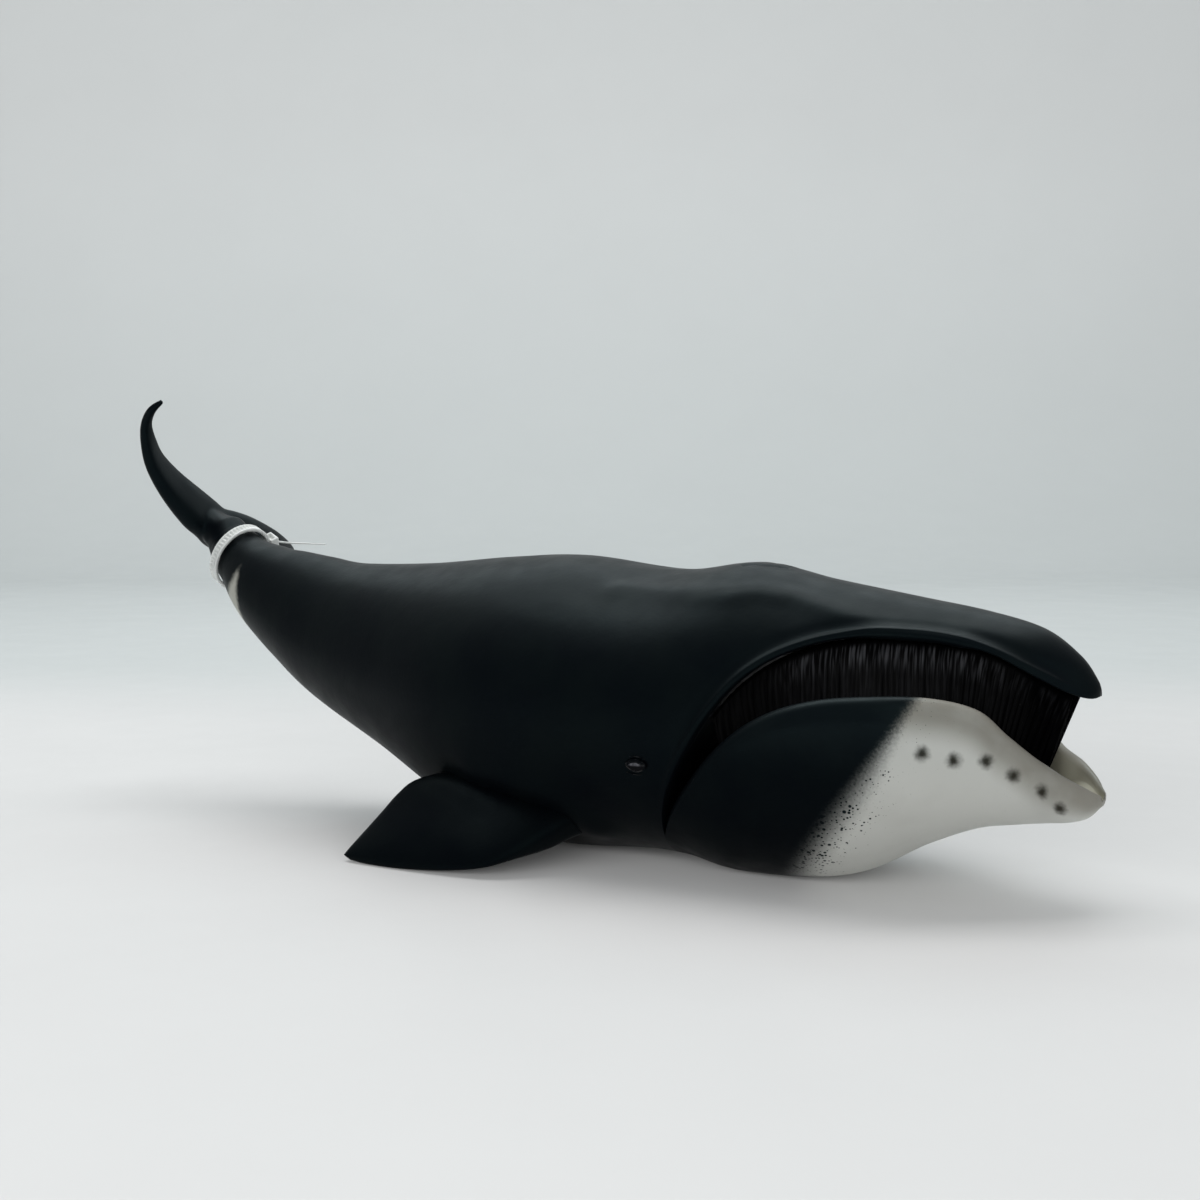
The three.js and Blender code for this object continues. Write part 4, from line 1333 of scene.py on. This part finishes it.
def stage_paint():
    paint = Paint("stage_paint", Specular_IOR_Level=0.2)
    # Painted shade and light: from STAGE_FADE behind the figurine the floor turns darker, then lighter again
    # with height up the wall
    back = paint.vector("DOT_PRODUCT", paint.place, tuple(-view_direction()))["Value"]
    near = paint.mix(paint.noise(size=60), *FLOOR_TONES)
    low = paint.mix(paint.noise(size=90), *FAR_PAINTED_SHADE_TONES)
    high = paint.mix(paint.noise(size=90), *HIGH_PAINTED_LIGHT_TONES)
    far = paint.mix(paint.step(paint.z, *WALL_RISES), low, high)
    paint.set("Base Color", paint.mix(paint.step(back, *STAGE_FADE), near, far))
    paint.roughen(size=25, start=0.55, end=0.7)
    return paint.material


# Stage, light and camera


def view_direction():
    """From the target to the camera."""
    level = math.cos(VIEW_ELEVATION)
    aside, back = math.sin(VIEW_AZIMUTH), math.cos(VIEW_AZIMUTH)
    return np.array([aside * level, -back * level, math.sin(VIEW_ELEVATION)])


def away():
    """The level direction from the camera to the figurine."""
    return Vector(-view_direction()).to_2d().normalized()


def sweep_stage(paint):
    """A floor that curves up into a wall far behind the figurine."""
    profile = [(STAGE_NEAR, 0.0)]
    for turn in np.linspace(0, math.pi / 2, STAGE_BEND_STEPS):
        profile.append((STAGE_FAR + STAGE_BEND * math.sin(turn), STAGE_BEND * (1 - math.cos(turn))))
    profile.append((STAGE_FAR + STAGE_BEND, STAGE_WALL))
    behind = away()
    across = Vector((behind.y, -behind.x))
    points = []
    for side in (-STAGE_HALF_WIDTH, STAGE_HALF_WIDTH):
        for run, height in profile:
            points.append((*behind * run + across * side, height))
    count = len(profile)
    faces = [[k, k + 1, count + k + 1, count + k] for k in range(count - 1)]
    sheet = add_mesh("stage_sweep", points, faces, paint)
    return sheet


def softbox(name, spot, size, power, target=(0, 0, 0)):
    light = bpy.data.lights.new(name, "AREA")
    light.shape = "RECTANGLE"
    light.size, light.size_y = size
    light.energy = power
    lamp = add(name, light)
    lamp.location = spot
    lamp.rotation_euler = (Vector(target) - Vector(spot)).to_track_quat("-Z", "Y").to_euler()
    return lamp


def only(lamp, thing, state="INCLUDE"):
    """Keeps a lamp's light to one piece, or off it."""
    lit = bpy.data.collections.new(f"linked_to_{lamp.name}")
    lit.objects.link(thing)
    lit.collection_objects[0].light_linking.link_state = state
    lamp.light_linking.receiver_collection = lit


def lighting(sheet, tail):
    """Softboxes round the figurine, a fill for the shadows on the stage, and a light on the flukes."""
    behind = away()
    softbox("top_softbox", spot=(-0.14, 0.15, 0.92), size=(1.0, 0.45), power=5.6)
    back = softbox("back_softbox", spot=(*behind * 0.75, 0.8), size=(1.3, 0.4), power=3.0)
    back.data.color = BACK_LIGHT
    front = softbox("front_softbox", spot=(0.95, -0.6, 0.5), size=(1.4, 0.9), power=2.4, target=(0, 0, 0.03))
    side = softbox("side_softbox", spot=(0.35, 0.85, 0.4), size=(0.8, 0.6), power=1.8, target=(0, 0, 0.05))
    fill = softbox("stage_fill", spot=(0.2, -0.95, 0.28), size=(2.2, 0.4), power=20.5)
    only(fill, sheet)
    only(side, tail)
    only(front, sheet, "EXCLUDE")
    wall = (*behind * 1.2, 0.35)
    softbox("wall_softbox", spot=(*behind * 0.35, 1.1), size=(3.4, 0.3), power=4.3, target=wall)
    world = bpy.data.worlds.new("studio")
    world.use_nodes = True
    backdrop = world.node_tree.nodes["Background"]
    backdrop.inputs["Color"].default_value = BACKDROP
    backdrop.inputs["Strength"].default_value = BACKDROP_STRENGTH
    bpy.context.scene.world = world


def camera():
    lens = bpy.data.cameras.new("camera")
    lens.lens = LENS
    lens.clip_start = CLIP_START
    eye_point = add("camera", lens)
    target = Vector(np.array(VIEW_TARGET) * MM + SHIFT)
    back = Vector(view_direction())
    eye_point.location = target + back * VIEW_DISTANCE * MM
    eye_point.rotation_euler = back.to_track_quat("Z", "Y").to_euler()
    bpy.context.scene.camera = eye_point
    bpy.context.scene.view_settings.view_transform = "Standard"


def figurine():
    skin = skin_paint()
    body(skin)
    jaw(chin_paint())
    bristle = baleen_paint()
    bead = eye_paint()
    lid = lid_paint()
    for side, word in ((RIGHT_SIDE, "right"), (LEFT_SIDE, "left")):
        baleen(side, f"baleen_{word}", bristle)
        eye(side, f"eye_{word}", bead)
        lids(side, f"eyelids_{word}", lid)
        flipper(side, f"flipper_{word}", skin)
    tongue(mouth_paint())
    cable_tie(nylon_paint())
    return flukes(skin)


lighting(sweep_stage(stage_paint()), figurine())
camera()
